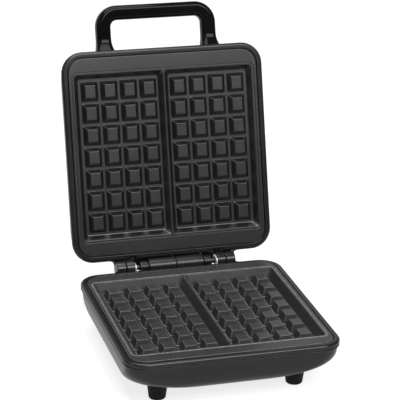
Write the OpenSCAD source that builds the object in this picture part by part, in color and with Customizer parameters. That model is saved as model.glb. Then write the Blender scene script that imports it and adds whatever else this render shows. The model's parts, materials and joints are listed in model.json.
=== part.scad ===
// Double waffle maker with a lid that swings back on a rear hinge.
// Origin: on the table, under the middle of the two waffle grids. Front is -Y, up is +Z.

/* [Waffle grids] */
// Distance from the side edges of a plate to its trays
tray_margin_x = 6.1; // [5.5:0.1:8]
// Distance from the front and rear edges of a plate to its trays
tray_margin_y = 18.1; // [17:0.1:20]
// Columns of knobs in each of the two grids
grid_cols = 4; // [3:1:4]
// Rows of knobs in each grid
grid_rows = 7; // [5:1:7]
// Extra space between the two grids, where the divider ridge stands
grid_gap = 12.6; // [11.6:0.1:13.6]
// Width of a knob's flat top
knob_top_x = 11.3; // [10:0.1:11.6]
// Depth of a knob's flat top
knob_top_y = 13.5; // [11:0.1:14]
// Height of the knobs of the lower plate
lower_knob_h = 9.6; // [7:0.1:10]
// How far the lower knobs stop below the plate's rim
lower_knob_drop = 1.8; // [1:0.1:2.4]
// How far each side of a lower knob spreads towards its foot
lower_knob_flare = 3.5; // [2:0.1:3.8]
// Height of the knobs of the upper plate
upper_knob_h = 5.9; // [4:0.1:6.4]
// How far the upper knobs stop short of the plate's rim
upper_knob_drop = 1.1; // [0.8:0.1:2]
// How far each side of an upper knob spreads towards its foot
upper_knob_flare = 4; // [2:0.1:4.3]
// Slope of the lower tray's walls, as the width of the slope
lower_wall_slope = 5; // [3:0.1:5.6]
// Slope of the upper tray's walls, as the width of the slope
upper_wall_slope = 4.6; // [3:0.1:5.2]
// Floor of the valley between the last lower knobs and the tray wall
valley_w = 3.8; // [2.6:0.1:4.2]
// Flat crest of the divider ridge between the two trays of a plate
divider_crest = 1.7; // [1:0.1:2.4]
// Radius of the tray's corners in plan
tray_corner_r = 4; // [3:0.5:6]
// Thickness of the cast plates
plate_wall = 3; // [2.4:0.1:3]
// Width of the sealing groove round each tray
groove_w = 1.2; // [0.8:0.1:1.6]
// Depth of the sealing groove
groove_depth = 0.8; // [0.5:0.1:1.2]
// Width of the raised lip between a tray and its groove
lip_w = 1.8; // [1.2:0.1:2]

/* [Body] */
// Height of the seam between base and lid above the table
seam_z = 59; // [58.5:0.5:62]
// Width of the base and of the lid over their trims
body_w = 232; // [232:1:240]
// Depth of the base and of the lid over their trims
body_d = 235.5; // [232:0.5:240]
// Plan radius of the corners
corner_r = 24; // [22:1:28]
// Width of the trim rings
trim_w = 6.4; // [5.8:0.1:6.6]
// Height of the base trim ring
base_trim_h = 7.4; // [6.6:0.1:8]
// Height of the lid trim ring
lid_trim_h = 4.2; // [4:0.1:5]
// Radius of the trims' outer edges
trim_edge_r = 2.8; // [1.5:0.1:3.4]
// How far a plate's edge rests on the trim ring's ledge
ledge_w = 2.6; // [1.6:0.1:2.8]
// How far the housings stand back from the trims
housing_inset = 2; // [1:0.1:2.5]
// Depth of the base bowl below its trim
base_bowl_h = 39.3; // [38.5:0.1:40.3]
// Height of the lid's dome above its trim
lid_dome_h = 41.4; // [38:0.1:44]
// Squareness of the bowl's and the dome's cross-section
bowl_power = 4; // [3.2:0.1:4.4]
// Wall of the moulded housings
shell_wall = 2.4; // [2:0.1:2.8]
// Gap between the closed halves
seam_gap = 0.8; // [0.6:0.1:1]
// Gap between a plate and the trim ring round it
plate_gap = 0.8; // [0.5:0.1:1]

/* [Hinge] */
// Distance of the hinge axis behind the body's rear edge
hinge_back = 9.05; // [9.05:0.05:10]
// How far the hinge axis lies below the seam
hinge_drop = 1; // [0.5:0.1:2]
// Angle of the lid when it leans back on its stop
open_angle = 106; // [95:1:108]
// Radius of the barrels and of the knuckles
barrel_r = 8.8; // [8:0.1:8.8]
// Length of each half of the middle barrel
barrel_len = 31.6; // [28:0.1:32]
// Radius of the collars beside the barrel
collar_r = 7; // [6.2:0.1:7.6]
// Length of each collar
collar_len = 8.6; // [7:0.1:9]
// Length of the thin neck between a barrel and its collar
neck_len = 1.2; // [0.8:0.1:1.6]
// Radius of that neck
neck_r = 5.6; // [5:0.1:6]
// Distance from the middle to the inner face of each steel hinge strap
strap_x = 46.4; // [44:0.1:48]
// Thickness of the steel hinge straps
strap_t = 1.6; // [1.2:0.1:2]
// Height of the steel hinge straps
strap_h = 10; // [9:0.5:11]
// Width of each base tower
tower_w = 9.8; // [8:0.1:11]
// Width of each lid knuckle
knuckle_w = 10.8; // [9:0.1:12]
// Radius of the hinge pins
pin_r = 3; // [2.5:0.1:3.2]
// Running clearance of the hinge pins in the lid's knuckles, radial
pin_clear = 0.08; // [0.04:0.01:0.1]
// Sideways gap between moving hinge parts
side_gap = 0.4; // [0.3:0.05:0.5]
// Gap between the lid's stop heel and the base wall
stop_gap = 0.3; // [0.2:0.05:0.5]
// Radius of the wire tunnel through the barrel
tunnel_r = 4; // [3.8:0.1:4.4]
// Radius of the fillets between the hinge knuckles and the trims
web_r = 5; // [3:0.5:6]
// Depth of the notches in the lid trim beside the barrel
notch_depth = 4.6; // [3:0.1:5]

/* [Handle] */
// Width of the handle over its legs
handle_w = 138.5; // [130:0.5:142]
// How far the handle reaches in front of the trims
handle_reach = 49.5; // [44:0.5:54]
// Width of the handle's bar
handle_bar = 16.4; // [15:0.2:18]
// Thickness of the handle, both halves together
handle_t = 16; // [15:0.5:18]
// Outer radius of the handle's corners
handle_r = 24; // [20:0.5:26]
// Radius of the handle's long edges
handle_edge_r = 5; // [3:0.5:6]
// Height of the handle's middle above the seam
handle_mid = 25; // [22:0.5:26]

/* [Feet] */
// Distance of the feet from the body's sides
foot_inset_x = 41.5; // [40:0.5:46]
// Distance of the front feet from the body's front edge
foot_inset_front = 39.75; // [38:0.25:44]
// Distance of the rear feet from the body's rear edge
foot_inset_rear = 29.75; // [29:0.25:34]
// Radius of a foot at its lower end
foot_r_low = 8.8; // [8:0.1:10]
// Radius of a foot where it meets the bowl
foot_r_top = 11; // [10:0.1:12]
// Radius of a foot's lower edge
foot_edge_r = 1.6; // [1:0.1:2.4]
// Radius of the rubber pads under the feet
pad_r = 6; // [5:0.1:6.4]
// Thickness of the rubber pads
pad_t = 2.8; // [2:0.1:3]
// How far the rubber pads stand below the feet
pad_proud = 0.8; // [0.5:0.1:1.2]

/* [Heaters] */
// Radius of the tubular heaters
heater_r = 3.25; // [3:0.05:3.6]
// Distance between the two long runs of a heater
heater_span = 108; // [100:1:116]
// Front to back length of a heater's loop
heater_len = 130; // [120:1:136]
// Length of the ceramic ends of the heaters
ceramic_len = 9; // [7:0.5:10]
// Radius of the ceramic ends
ceramic_r = 3.25; // [3:0.05:3.6]
// Thickness of the heat shields
shield_t = 0.8; // [0.6:0.1:1]
// Gap between a heater and its heat shield
shield_gap = 4.5; // [3.5:0.1:4.5]
// Distance from a plate's side edges to its heat shield
shield_inset_x = 16.8; // [15:0.1:19]
// Distance from a plate's front edge to its heat shield
shield_inset_front = 26.5; // [25.5:0.5:30]
// Distance from a plate's rear edge to its heat shield
shield_inset_rear = 38.5; // [36.5:0.5:41]
// Height of the shields' turned-up rims
shield_rim = 4; // [3:0.5:5]
// Length of the heater clamps along the tube
clamp_len = 10; // [8:0.5:12]
// Thickness of the clamp sheet
clamp_t = 1.2; // [0.8:0.1:1.4]
// Width of each clamp foot
clamp_foot = 6; // [5.5:0.5:7]
// Radius of the studs that hold the clamps
stud_r = 1.6; // [1.4:0.1:1.8]
// Distance of the clamps behind and in front of the middle
clamp_y = 45; // [40:1:50]

/* [Fasteners and fittings] */
// Radius of the screw shanks
screw_r = 2; // [1.75:0.05:2.1]
// Radius of the screw heads
screw_head_r = 3.8; // [3.4:0.1:4]
// Height of the screw heads
screw_head_h = 2.4; // [2:0.1:2.6]
// Radius of the screw posts
post_r = 6; // [5.5:0.1:6.5]
// Gap between a screw shank and its through hole, radial
screw_clear = 0.1; // [0.05:0.01:0.2]
// Distance of the plate screws from a plate's side edges
plate_screw_inset = 26.8; // [25:0.2:31]
// Distance of the plate screws from the middle, front and back
plate_screw_y = 48; // [42:1:50]
// Distance of the lid frame screws from the middle, front and back
frame_screw_y = 20; // [16:1:26]
// How far the plate screws reach into the plate
screw_bite = 9; // [6:0.5:9.5]
// Bore of the cord inlet bush
inlet_bore_r = 3.5; // [3:0.1:4]
// Outer radius of the cord inlet bush
inlet_r = 6; // [5.5:0.1:6.5]
// Radius of the housing's boss round the cord inlet
inlet_boss_r = 8.5; // [8:0.1:9]
// Height of the cord inlet above the table
inlet_z = 38; // [36:0.5:39]
// Radius of the internal leads
lead_r = 1.3; // [1:0.1:1.5]
// Radius of the indicator lenses
lens_r = 4; // [3:0.1:5]
// Half the distance between the indicator lenses
lens_x = 10; // [8:0.5:12]
// Distance of the lenses in front of the middle
lens_y = 26; // [20:1:28]

/* [Hidden] */
$fn = 64;
EPS = 0.01;
SINK = 0.5; // how far a shape reaches into the one that it is cast with
SIDES = [-1, 1];

// Plan of the body and of the waffle trays
half_w = body_w / 2;
half_d = body_d / 2;
wall_x = half_w - housing_inset;
wall_y = half_d - housing_inset;
wall_corner_r = corner_r - housing_inset;
plate_x = half_w - trim_w - plate_gap;
plate_y = half_d - trim_w - plate_gap;
plate_corner_r = corner_r - trim_w - plate_gap;
tray_x = plate_x - tray_margin_x;
tray_y = plate_y - tray_margin_y;
tray_half_x = (tray_x - divider_crest / 2) / 2;
tray_mid_x = (tray_x + divider_crest / 2) / 2;
last_col = tray_x - lower_wall_slope - valley_w - lower_knob_flare - knob_top_x / 2;
last_row = tray_y - lower_wall_slope - valley_w - lower_knob_flare - knob_top_y / 2;
col_pitch = (last_col - grid_gap / 2) / (grid_cols - 0.5);
row_pitch = 2 * last_row / (grid_rows - 1);
col_in = (col_pitch + grid_gap) / 2;
columns = [for (s = SIDES, i = [0 : grid_cols - 1]) s * (col_in + i * col_pitch)];
rows = [for (i = [0 : grid_rows - 1]) (i - (grid_rows - 1) / 2) * row_pitch];
lower_depth = lower_knob_h + lower_knob_drop;
upper_depth = upper_knob_h + upper_knob_drop;

// Heights
half_seam = seam_gap / 2;
base_top_z = seam_z - half_seam;
lid_low_z = seam_z + half_seam;
bowl_top_z = base_top_z - base_trim_h;
dome_low_z = lid_low_z + lid_trim_h;
boss_h = 2 * heater_r + shield_gap;
lower_back_z = base_top_z - lower_depth - plate_wall;
upper_back_z = lid_low_z + upper_depth + plate_wall;
lower_shield_z = lower_back_z - boss_h;
upper_shield_z = upper_back_z + boss_h;

// Bowl and dome: layers that follow a rounded square curve, flat at the end
last_angle = 82;
corner_growth = 2; // share of the width that the corner radius tends to at the flat end
corner_bend = 0.6; // how early the corners start to grow
corner_most = 0.98; // largest corner radius, as a share of the layer's half width
layer_step = last_angle / 9;
flat_ratio = pow(sin(last_angle), 2 / bowl_power);
bowl_low_z = bowl_top_z - base_bowl_h * flat_ratio;
dome_top_z = dome_low_z + lid_dome_h * flat_ratio;
bowl_floor_z = bowl_low_z + shell_wall;
dome_ceiling_z = dome_top_z - shell_wall;

// Hinge
hinge_y = half_d + hinge_back;
hinge_z = seam_z - hinge_drop;
pin_start_x = barrel_len - 4;
tunnel_end_x = pin_start_x - 1;
collar_x = side_gap / 2 + barrel_len + neck_len;
tower_x = strap_x + strap_t;
knuckle_x = tower_x + tower_w + side_gap;
column_x = knuckle_x + knuckle_w;
pin_end_x = column_x - 1;
hinge_root_y = wall_y - 4;
hinge_root_h = 16;
heel_gap = 0.8; // from a stop heel to the base trim above and in front of it
heel_h = 5; // height of the stop heels where they meet the base wall
cover_gap = 0.5; // from the barrel to the cover behind it
cover_lower = 1.2; // how far the cover stays below the barrel's top
cover_low = 6; // from the hinge axis down to the cover's lower edge
cover_t = 4.7;
cover_bevel = 1.5;

// Feet, in order: front left, front right, rear left, rear right
foot_x = half_w - foot_inset_x;
front_foot_y = half_d - foot_inset_front;
rear_foot_y = half_d - foot_inset_rear;
foot_cone_rise = 20; // from the bowl's lowest level to the top of the uncut foot
foot_places = [[-foot_x, -front_foot_y], [foot_x, -front_foot_y],
    [-foot_x, rear_foot_y], [foot_x, rear_foot_y]];
foot_low_z = pad_proud;
foot_cone_z = bowl_low_z + foot_cone_rise;
foot_head_z = pad_t + screw_head_h;
foot_screw_z = lower_shield_z - shield_t - 1;
seat_t = 4.4; // wall between the head of a lower plate screw and the heat shield
plate_screw_x = plate_x - plate_screw_inset;
plate_screws = [for (sx = SIDES, sy = SIDES) [sx * plate_screw_x, sy * plate_screw_y]];
frame_screws = [for (sx = SIDES, sy = SIDES) [sx * plate_screw_x, sy * frame_screw_y]];
plate_screw_seat_z = lower_shield_z - shield_t - seat_t;
shield_x = plate_x - shield_inset_x;
shield_front = plate_y - shield_inset_front;
shield_rear = plate_y - shield_inset_rear;

// Heaters
run_x = heater_span / 2;
bend_y = run_x - heater_len / 2;
heater_end_y = heater_len / 2;
lower_heater_z = lower_back_z - heater_r;
upper_heater_z = upper_back_z + heater_r;
clamp_shift = 50; // from the rear clamps forward to the front ones
clamp_places = [for (sx = SIDES, sy = [clamp_y - clamp_shift, clamp_y]) [sx * run_x, sy]];

// Thermostat, terminal block and cord inlet
thermostat_r = 8;
thermostat_h = 8;
thermostat_y = 20;
thermostat_foot_x = thermostat_r + clamp_t + clamp_foot / 2 + 0.6;
fuse_r = 2.2;
fuse_len = 14;
fuse_x = 30;
block_w = 26;
block_d = 14;
block_h = 7;
block_y = 8;
inlet_out_y = wall_y + 1;
inlet_in_y = wall_y - 12;
inlet_flange_t = 2;
inlet_nut_t = 3;

// Leads: their way from the terminal block and through the barrel
base_lead_x = -16;
lead_bend_y = wall_y - 12;
base_lead_bend = [base_lead_x, lead_bend_y, hinge_z - 23];
lid_lead_bend = [-base_lead_x, lead_bend_y, hinge_z + 19];
lead_low_z = bowl_floor_z + 4;
lead_drop_y = heater_end_y + ceramic_len + 3;
lead_start_y = block_y + block_d + lead_r;
lead_end_x = lead_r + side_gap / 2;

// Handle
handle_z = seam_z + handle_mid;
handle_leg_x = handle_w / 2 - handle_bar / 2;
handle_front_y = -half_d - handle_reach;
handle_seam_gap = 0.4;
handle_screw_z = handle_z - handle_t / 4;
handle_boss_y = -wall_y + 12;
handle_bite_y = handle_front_y + handle_r;

// Indicators
lens_flange_t = 1.4;
lens_proud = 0.8;
lamp_r = 3;
lamp_h = 9;
carrier_t = 1.6;
carrier_z = dome_ceiling_z - 14;
carrier_x = 26;
carrier_post_r = 4;
carrier_screw_r = 1.4;
carrier_screw_len = 6;
carrier_screw_head_h = 1.6;

// Rounded rectangle in plan
module plan(hx, hy, r) {
    square([2 * hx, 2 * (hy - r)], center = true);
    square([2 * (hx - r), 2 * hy], center = true);
    for (sx = SIDES, sy = SIDES)
        translate([sx * (hx - r), sy * (hy - r)])
            circle(r);
}

// Sweeps a profile round a rounded rectangle; the profile's X runs outward from the outline
module ring_sweep(hx, hy, r) {
    for (sx = [0, 1], sy = [0, 1])
        mirror([sx, 0, 0])
            mirror([0, sy, 0])
                translate([hx - r, hy - r, 0])
                    rotate_extrude(angle = 90)
                        translate([r, 0])
                            children();
    for (s = [0, 1]) {
        mirror([s, 0, 0])
            translate([hx, 0, 0])
                rotate([90, 0, 0])
                    linear_extrude(height = 2 * (hy - r), center = true)
                        children();
        mirror([0, s, 0])
            translate([0, hy, 0])
                rotate([90, 0, 90])
                    linear_extrude(height = 2 * (hx - r), center = true)
                        children();
    }
}

// Closed bowl that starts at height 0 and goes down; inset makes the matching inner surface
module bowl_solid(depth, inset) {
    hx = wall_x - inset;
    hy = wall_y - inset;
    corner_share = (wall_corner_r - inset) / hx;
    hull()
        for (a = [0 : layer_step : last_angle])
            let (k = pow(cos(a), 2 / bowl_power), drop = (depth - inset) * pow(sin(a), 2 / bowl_power),
                share = corner_share + (corner_growth - corner_share) * pow(1 - k, corner_bend))
                translate([0, 0, -drop])
                    linear_extrude(EPS)
                        plan(hx * k, hy * k, hx * k * min(share, corner_most), $fn = 32);
}

module base_bowl(inset = 0) {
    translate([0, 0, bowl_top_z - EPS])
        bowl_solid(base_bowl_h, inset);
}

module lid_dome(inset = 0) {
    translate([0, 0, dome_low_z + EPS])
        mirror([0, 0, 1])
            bowl_solid(lid_dome_h, inset);
}

// Moves a piece that is drawn with the lid shut to where it stands with the lid open
module open_lid() {
    translate([0, hinge_y, hinge_z])
        rotate([-open_angle, 0, 0])
            translate([0, -hinge_y, -hinge_z])
                children();
}

// Cylinder along X from x0 to x1, on the hinge axis
module hinge_rod(r, x0, x1) {
    translate([x0, hinge_y, hinge_z])
        rotate([0, 90, 0])
            cylinder(r = r, h = x1 - x0);
}

// Flat shape in the plane of Y and Z, extruded along X from x0 to x1
module side_extrude(x0, x1) {
    translate([x0, 0, 0])
        rotate([90, 0, 90])
            linear_extrude(x1 - x0)
                children();
}

// Knuckle on the hinge axis with a root on a rear wall; up is -1 for the base, 1 for the lid
module knuckle(x0, x1, up, trim_z) {
    hinge_rod(barrel_r, x0, x1);
    side_extrude(x0, x1)
        polygon([[hinge_root_y, trim_z + up * hinge_root_h], [hinge_y + up * 2, hinge_z + up * (barrel_r - 0.25)],
            [hinge_y + barrel_r, hinge_z], [hinge_y - barrel_r, hinge_z], [hinge_y - barrel_r, trim_z],
            [hinge_root_y, trim_z]]);
}

// Saddle under or over one half of the barrel, joined to a rear wall
module barrel_saddle(x0, x1, up, trim_z, root_h) {
    difference() {
        side_extrude(x0, x1)
            polygon([[hinge_root_y, trim_z + up * root_h], [hinge_y - 1, hinge_z + up * (barrel_r + 2)],
                [hinge_y - 1, trim_z + up], [hinge_root_y, trim_z]]);
        hinge_rod(barrel_r, x0 - 1, x1 + 1);
    }
}

// Cover behind the barrel and the collars, from x0 to x1, joined to the tower that ends at x_tower
module hinge_cover(x0, x1, x_tower) {
    front = barrel_r + cover_gap;
    top = barrel_r - cover_lower;
    side_extrude(x0, x1)
        translate([hinge_y, hinge_z])
            polygon([[front, -cover_low], [front, top], [front + cover_t - cover_bevel, top], [front + cover_t, top / 2],
                [front + cover_t, -cover_low]]);
    side_extrude(min(x_tower, x_tower + tower_w), max(x_tower, x_tower + tower_w))
        translate([hinge_y, hinge_z])
            polygon([[0, -cover_low], [0, top], [front + EPS, top], [front + EPS, -cover_low]]);
}

// Straight bars with one pitch, cut across by bars the other way, make a field of knobs
module bars(places, top, flare, h, len) {
    for (p = places)
        rotate([90, 0, 0])
            linear_extrude(height = len, center = true)
                polygon([[p - top / 2 - flare, 0], [p - top / 2, h], [p + top / 2, h], [p + top / 2 + flare, 0]]);
}

module knobs(flare, h) {
    grow = flare * SINK / h;
    translate([0, 0, -SINK])
        intersection() {
            bars(columns, knob_top_x, flare + grow, h + SINK, 2 * tray_y);
            rotate([0, 0, 90])
                bars(rows, knob_top_y, flare + grow, h + SINK, 2 * tray_x);
        }
}

// Cast plate that starts at height 0, with its two trays going down side by side
module plate(depth, slope, knob_h, flare) {
    difference() {
        union() {
            translate([0, 0, -plate_wall])
                linear_extrude(plate_wall)
                    plan(plate_x, plate_y, plate_corner_r);
            tray_block(tray_x, depth + plate_wall, slope, plate_wall, 0);
            plate_bosses(depth);
        }
        for (s = SIDES)
            translate([s * tray_mid_x, 0, 0])
                tray_block(tray_half_x, depth, slope, 0, 1);
        translate([0, 0, -groove_depth])
            linear_extrude(groove_depth + 1)
                difference() {
                    plan(tray_x + lip_w + groove_w, tray_y + lip_w + groove_w, tray_corner_r + lip_w + groove_w);
                    plan(tray_x + lip_w, tray_y + lip_w, tray_corner_r + lip_w);
                }
        for (p = plate_screws)
            translate([p[0], p[1], -depth - plate_wall - boss_h - 1])
                cylinder(r = screw_r, h = screw_bite + 1);
    }
    translate([0, 0, -depth])
        knobs(flare, knob_h);
}

// Sloping block of half width hx between a tray's mouth and its floor
module tray_block(hx, depth, slope, grow, over) {
    hull() {
        translate([0, 0, -EPS])
            linear_extrude(EPS + over)
                plan(hx + grow, tray_y + grow, tray_corner_r + grow, $fn = 32);
        translate([0, 0, -depth])
            linear_extrude(EPS)
                plan(hx + grow - slope, tray_y + grow - slope, tray_corner_r + grow, $fn = 32);
    }
}

module plate_bosses(depth) {
    for (p = plate_screws)
        translate([p[0], p[1], -depth - plate_wall - boss_h])
            cylinder(r = post_r - 1, h = boss_h + SINK);
    for (p = clamp_places, s = SIDES)
        translate([p[0] + s * (heater_r + clamp_t + clamp_foot / 2), p[1], -depth - plate_wall - clamp_t - 1])
            cylinder(r = stud_r, h = clamp_t + 1 + SINK, $fn = 32);
    for (s = SIDES)
        translate([s * thermostat_foot_x, thermostat_y, -depth - plate_wall - clamp_t - 1])
            cylinder(r = stud_r, h = clamp_t + 1 + SINK, $fn = 32);
}

// Profile of a trim ring with a rounded outer edge and a ledge for the plate
module trim_profile(h) {
    steps = 8;
    arc = [for (i = [0 : steps])
        let (a = 90 - 90 * i / steps)
            [-trim_edge_r + trim_edge_r * cos(a), -trim_edge_r + trim_edge_r * sin(a)]];
    polygon(concat([[-trim_w, 0]], arc, [[0, -h], [-trim_w - plate_gap - ledge_w, -h],
        [-trim_w - plate_gap - ledge_w, -plate_wall], [-trim_w, -plate_wall]]));
}

// Small concave webs where the outer sides of the knuckles meet a trim's rear edge
module knuckle_webs(z0, h) {
    for (s = [0, 1])
        mirror([s, 0, 0])
            translate([column_x + side_gap, half_d - SINK, z0])
                linear_extrude(h)
                    difference() {
                        square([web_r, web_r + SINK]);
                        translate([web_r, web_r + SINK])
                            circle(web_r);
                    }
}

module base_housing() {
    color("#2b2b2e")
        difference() {
            union() {
                difference() {
                    union() {
                        base_bowl();
                        for (s = [0, 1])
                            mirror([s, 0, 0])
                                knuckle(tower_x, tower_x + tower_w, -1, bowl_top_z);
                        barrel_saddle(-barrel_len - side_gap / 2, -side_gap / 2, -1, bowl_top_z, hinge_root_h / 4);
                        hinge_cover(-tower_x - tower_w, -side_gap, -tower_x - tower_w);
                        hinge_cover(collar_x, tower_x + tower_w, tower_x);
                    }
                    base_bowl(shell_wall);
                    translate([0, 0, bowl_top_z - EPS])
                        linear_extrude(1)
                            plan(wall_x - shell_wall, wall_y - shell_wall, wall_corner_r - shell_wall);
                }
                intersection() {
                    base_bowl();
                    housing_posts();
                }
                inlet_boss();
            }
            for (p = plate_screws)
                screw_hole(p, 0, plate_screw_seat_z);
            for (p = foot_places)
                translate([p[0], p[1], 0])
                    cylinder(r = screw_r, h = foot_screw_z + 1);
            hinge_rod(pin_r, -column_x, column_x);
            translate([0, inlet_in_y - 1, inlet_z])
                rotate([-90, 0, 0])
                    cylinder(r = inlet_r, h = inlet_out_y - inlet_in_y + 2);
            base_lead_tunnel();
        }
}

// Through hole for a screw from below, with room for its head up to seat_z
module screw_hole(p, z0, seat_z) {
    translate([p[0], p[1], z0]) {
        cylinder(r = screw_head_r + 0.4, h = seat_z - z0);
        cylinder(r = screw_r + screw_clear, h = 2 * seat_z);
    }
}

module housing_posts() {
    for (p = plate_screws)
        translate([p[0], p[1], 0])
            cylinder(r = post_r, h = lower_shield_z - shield_t);
    for (p = foot_places)
        translate([p[0], p[1], 0])
            cylinder(r = post_r - 1, h = foot_screw_z);
}

module inlet_boss() {
    translate([0, inlet_in_y, inlet_z])
        rotate([-90, 0, 0])
            cylinder(r = inlet_boss_r, h = inlet_out_y - inlet_in_y);
}

module base_trim() {
    color("#1c1c1f") {
        translate([0, 0, base_top_z])
            ring_sweep(half_w, half_d, corner_r)
                trim_profile(base_trim_h);
        knuckle_webs(bowl_top_z, base_trim_h - 1);
    }
}

module lower_plate() {
    color("#3a3a3c")
        translate([0, 0, base_top_z])
            plate(lower_depth, lower_wall_slope, lower_knob_h, lower_knob_flare);
}

// Heater loop: two long runs and a round bend in front, at height z
module heater_loop(z) {
    translate([0, bend_y, z])
        rotate([0, 0, 180])
            rotate_extrude(angle = 180)
                translate([run_x, 0])
                    circle(heater_r);
    for (s = SIDES)
        translate([s * run_x, bend_y, z])
            rotate([-90, 0, 0])
                cylinder(r = heater_r, h = heater_end_y - bend_y);
}

module heater_ceramics(z) {
    for (s = SIDES)
        translate([s * run_x, heater_end_y, z])
            rotate([-90, 0, 0]) {
                cylinder(r = ceramic_r, h = ceramic_len);
                cylinder(r = lead_r, h = lead_drop_y - heater_end_y - lead_r);
            }
}

// Clamps that start at height 0 under a plate and go down round the heater
module heater_clamps() {
    for (p = clamp_places)
        translate([p[0], p[1], 0])
            sheet_clamp(heater_r, 2 * heater_r, clamp_len);
}

// Bent sheet strap: two feet at height 0 and a bridge below a body of half width w and depth h
module sheet_clamp(w, h, len) {
    reach = w + clamp_t;
    difference() {
        rotate([90, 0, 0])
            linear_extrude(height = len, center = true)
                polygon([[-reach - clamp_foot, 0], [-reach - clamp_foot, -clamp_t], [-reach, -clamp_t],
                    [-reach, -h - clamp_t], [reach, -h - clamp_t], [reach, -clamp_t],
                    [reach + clamp_foot, -clamp_t], [reach + clamp_foot, 0], [w, 0], [w, -h], [-w, -h], [-w, 0]]);
        for (s = SIDES)
            translate([s * (reach + clamp_foot / 2), 0, -clamp_t - 1])
                cylinder(r = stud_r, h = clamp_t + 2, $fn = 32);
    }
}

// Sheet tray that starts at height 0 and has its rim turned up
module heat_shield(holes, hole_r) {
    mid_y = (shield_rear - shield_front) / 2;
    half_y = (shield_rear + shield_front) / 2;
    difference() {
        translate([0, mid_y, 0])
            linear_extrude(shield_rim)
                plan(shield_x, half_y, 10);
        translate([0, mid_y, shield_t])
            linear_extrude(shield_rim)
                plan(shield_x - shield_t, half_y - shield_t, 10 - shield_t);
        for (p = holes)
            translate([p[0], p[1], -1])
                cylinder(r = hole_r, h = shield_t + 2);
    }
}

// Screw with its head's underside at height 0, pointing up
module screw(len, r = screw_r, head_r = screw_head_r, head_h = screw_head_h) {
    translate([0, 0, -head_h])
        cylinder(r = head_r, h = head_h);
    cylinder(r = r, h = len);
}

module lower_heater() {
    color("#8a8f94")
        heater_loop(lower_heater_z);
}

module lower_heater_clamps() {
    color("#b9bcc0")
        translate([0, 0, lower_back_z])
            heater_clamps();
}

module lower_heater_ceramics() {
    color("#e8e2d4")
        heater_ceramics(lower_heater_z);
}

module lower_heat_shield() {
    color("#c4c7ca")
        translate([0, 0, lower_shield_z - shield_t])
            heat_shield(plate_screws, screw_r + screw_clear);
}

module lower_plate_screws() {
    color("#9fa3a7")
        for (p = plate_screws)
            translate([p[0], p[1], plate_screw_seat_z])
                screw(lower_shield_z + screw_bite - plate_screw_seat_z - 0.5);
}

module thermostat() {
    color("#8c7a5a")
        translate([0, thermostat_y, lower_back_z - thermostat_h])
            cylinder(r = thermostat_r, h = thermostat_h);
}

module thermostat_strap() {
    color("#b9bcc0")
        translate([0, thermostat_y, lower_back_z])
            sheet_clamp(thermostat_r + 0.6, thermostat_h, clamp_len);
}

module thermal_fuse() {
    color("#d8d8d8")
        translate([fuse_x, thermostat_y - fuse_len / 2, lower_back_z - fuse_r])
            rotate([-90, 0, 0])
                cylinder(r = fuse_r, h = fuse_len);
}

module terminal_block() {
    color("#ece7da")
        translate([-block_w / 2, block_y, bowl_floor_z])
            cube([block_w, block_d, block_h]);
}

// Round lead along a list of points
module lead(points) {
    for (i = [0 : len(points) - 2])
        hull()
            for (p = [points[i], points[i + 1]])
                translate(p)
                    sphere(r = lead_r, $fn = 8);
}

// Slanting tunnel for the leads from the barrel into a housing
module lead_tunnel(x, bend_z) {
    dy = hinge_y - lead_bend_y;
    dz = hinge_z - bend_z;
    translate([x, hinge_y, hinge_z])
        rotate([90 + atan2(dz, dy), 0, 0])
            cylinder(r = tunnel_r - 0.8, h = norm([dy, dz]));
}

module base_lead_tunnel() {
    lead_tunnel(base_lead_x, base_lead_bend[2]);
}

module base_leads() {
    color("#b8342c") {
        for (s = SIDES)
            lead([[s * run_x, lead_drop_y, lower_heater_z], [s * run_x, lead_drop_y, lead_low_z + 6],
                [s * block_w / 3, lead_drop_y, lead_low_z + 2.4], [s * block_w / 3, lead_start_y, lead_low_z]]);
        lead([[0, lead_start_y, lead_low_z], [base_lead_x, shield_rear + 8, lead_low_z + 2.4], base_lead_bend,
            [base_lead_x, hinge_y, hinge_z], [-lead_end_x, hinge_y, hinge_z]]);
    }
}

module cord_inlet_bush() {
    color("#161618")
        translate([0, inlet_in_y - inlet_nut_t, inlet_z])
            rotate([-90, 0, 0])
                difference() {
                    union() {
                        cylinder(r = inlet_r, h = inlet_out_y - inlet_in_y + inlet_nut_t);
                        translate([0, 0, inlet_out_y - inlet_in_y + inlet_nut_t])
                            cylinder(r = inlet_boss_r, h = inlet_flange_t);
                    }
                    translate([0, 0, -1])
                        cylinder(r = inlet_bore_r, h = inlet_out_y - inlet_in_y + inlet_nut_t + inlet_flange_t + 2);
                }
}

module cord_inlet_nut() {
    color("#161618")
        translate([0, inlet_in_y - inlet_nut_t, inlet_z])
            rotate([-90, 0, 0])
                difference() {
                    cylinder(r = inlet_boss_r, h = inlet_nut_t);
                    translate([0, 0, -1])
                        cylinder(r = inlet_r, h = inlet_nut_t + 2);
                }
}

// Foot number i: a tapered block, cut at the top to the shape of the bowl
module foot(i) {
    p = foot_places[i];
    color("#141416")
        difference() {
            translate([p[0], p[1], 0])
                rotate_extrude()
                    polygon([[0, foot_low_z], [foot_r_low - foot_edge_r, foot_low_z],
                        [foot_r_low, foot_low_z + foot_edge_r], [foot_r_top, bowl_low_z + 6],
                        [foot_r_top, foot_cone_z], [0, foot_cone_z]]);
            base_bowl();
            translate([p[0], p[1], 0]) {
                cylinder(r = pad_r, h = pad_t);
                cylinder(r = screw_head_r + 0.4, h = foot_head_z);
                cylinder(r = screw_r + screw_clear, h = foot_cone_z);
            }
        }
}

module foot_front_left() {
    foot(0);
}

module foot_front_right() {
    foot(1);
}

module foot_rear_left() {
    foot(2);
}

module foot_rear_right() {
    foot(3);
}

module foot_pads() {
    color("#0e0e0f")
        for (p = foot_places)
            translate([p[0], p[1], 0])
                cylinder(r = pad_r, h = pad_t);
}

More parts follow.
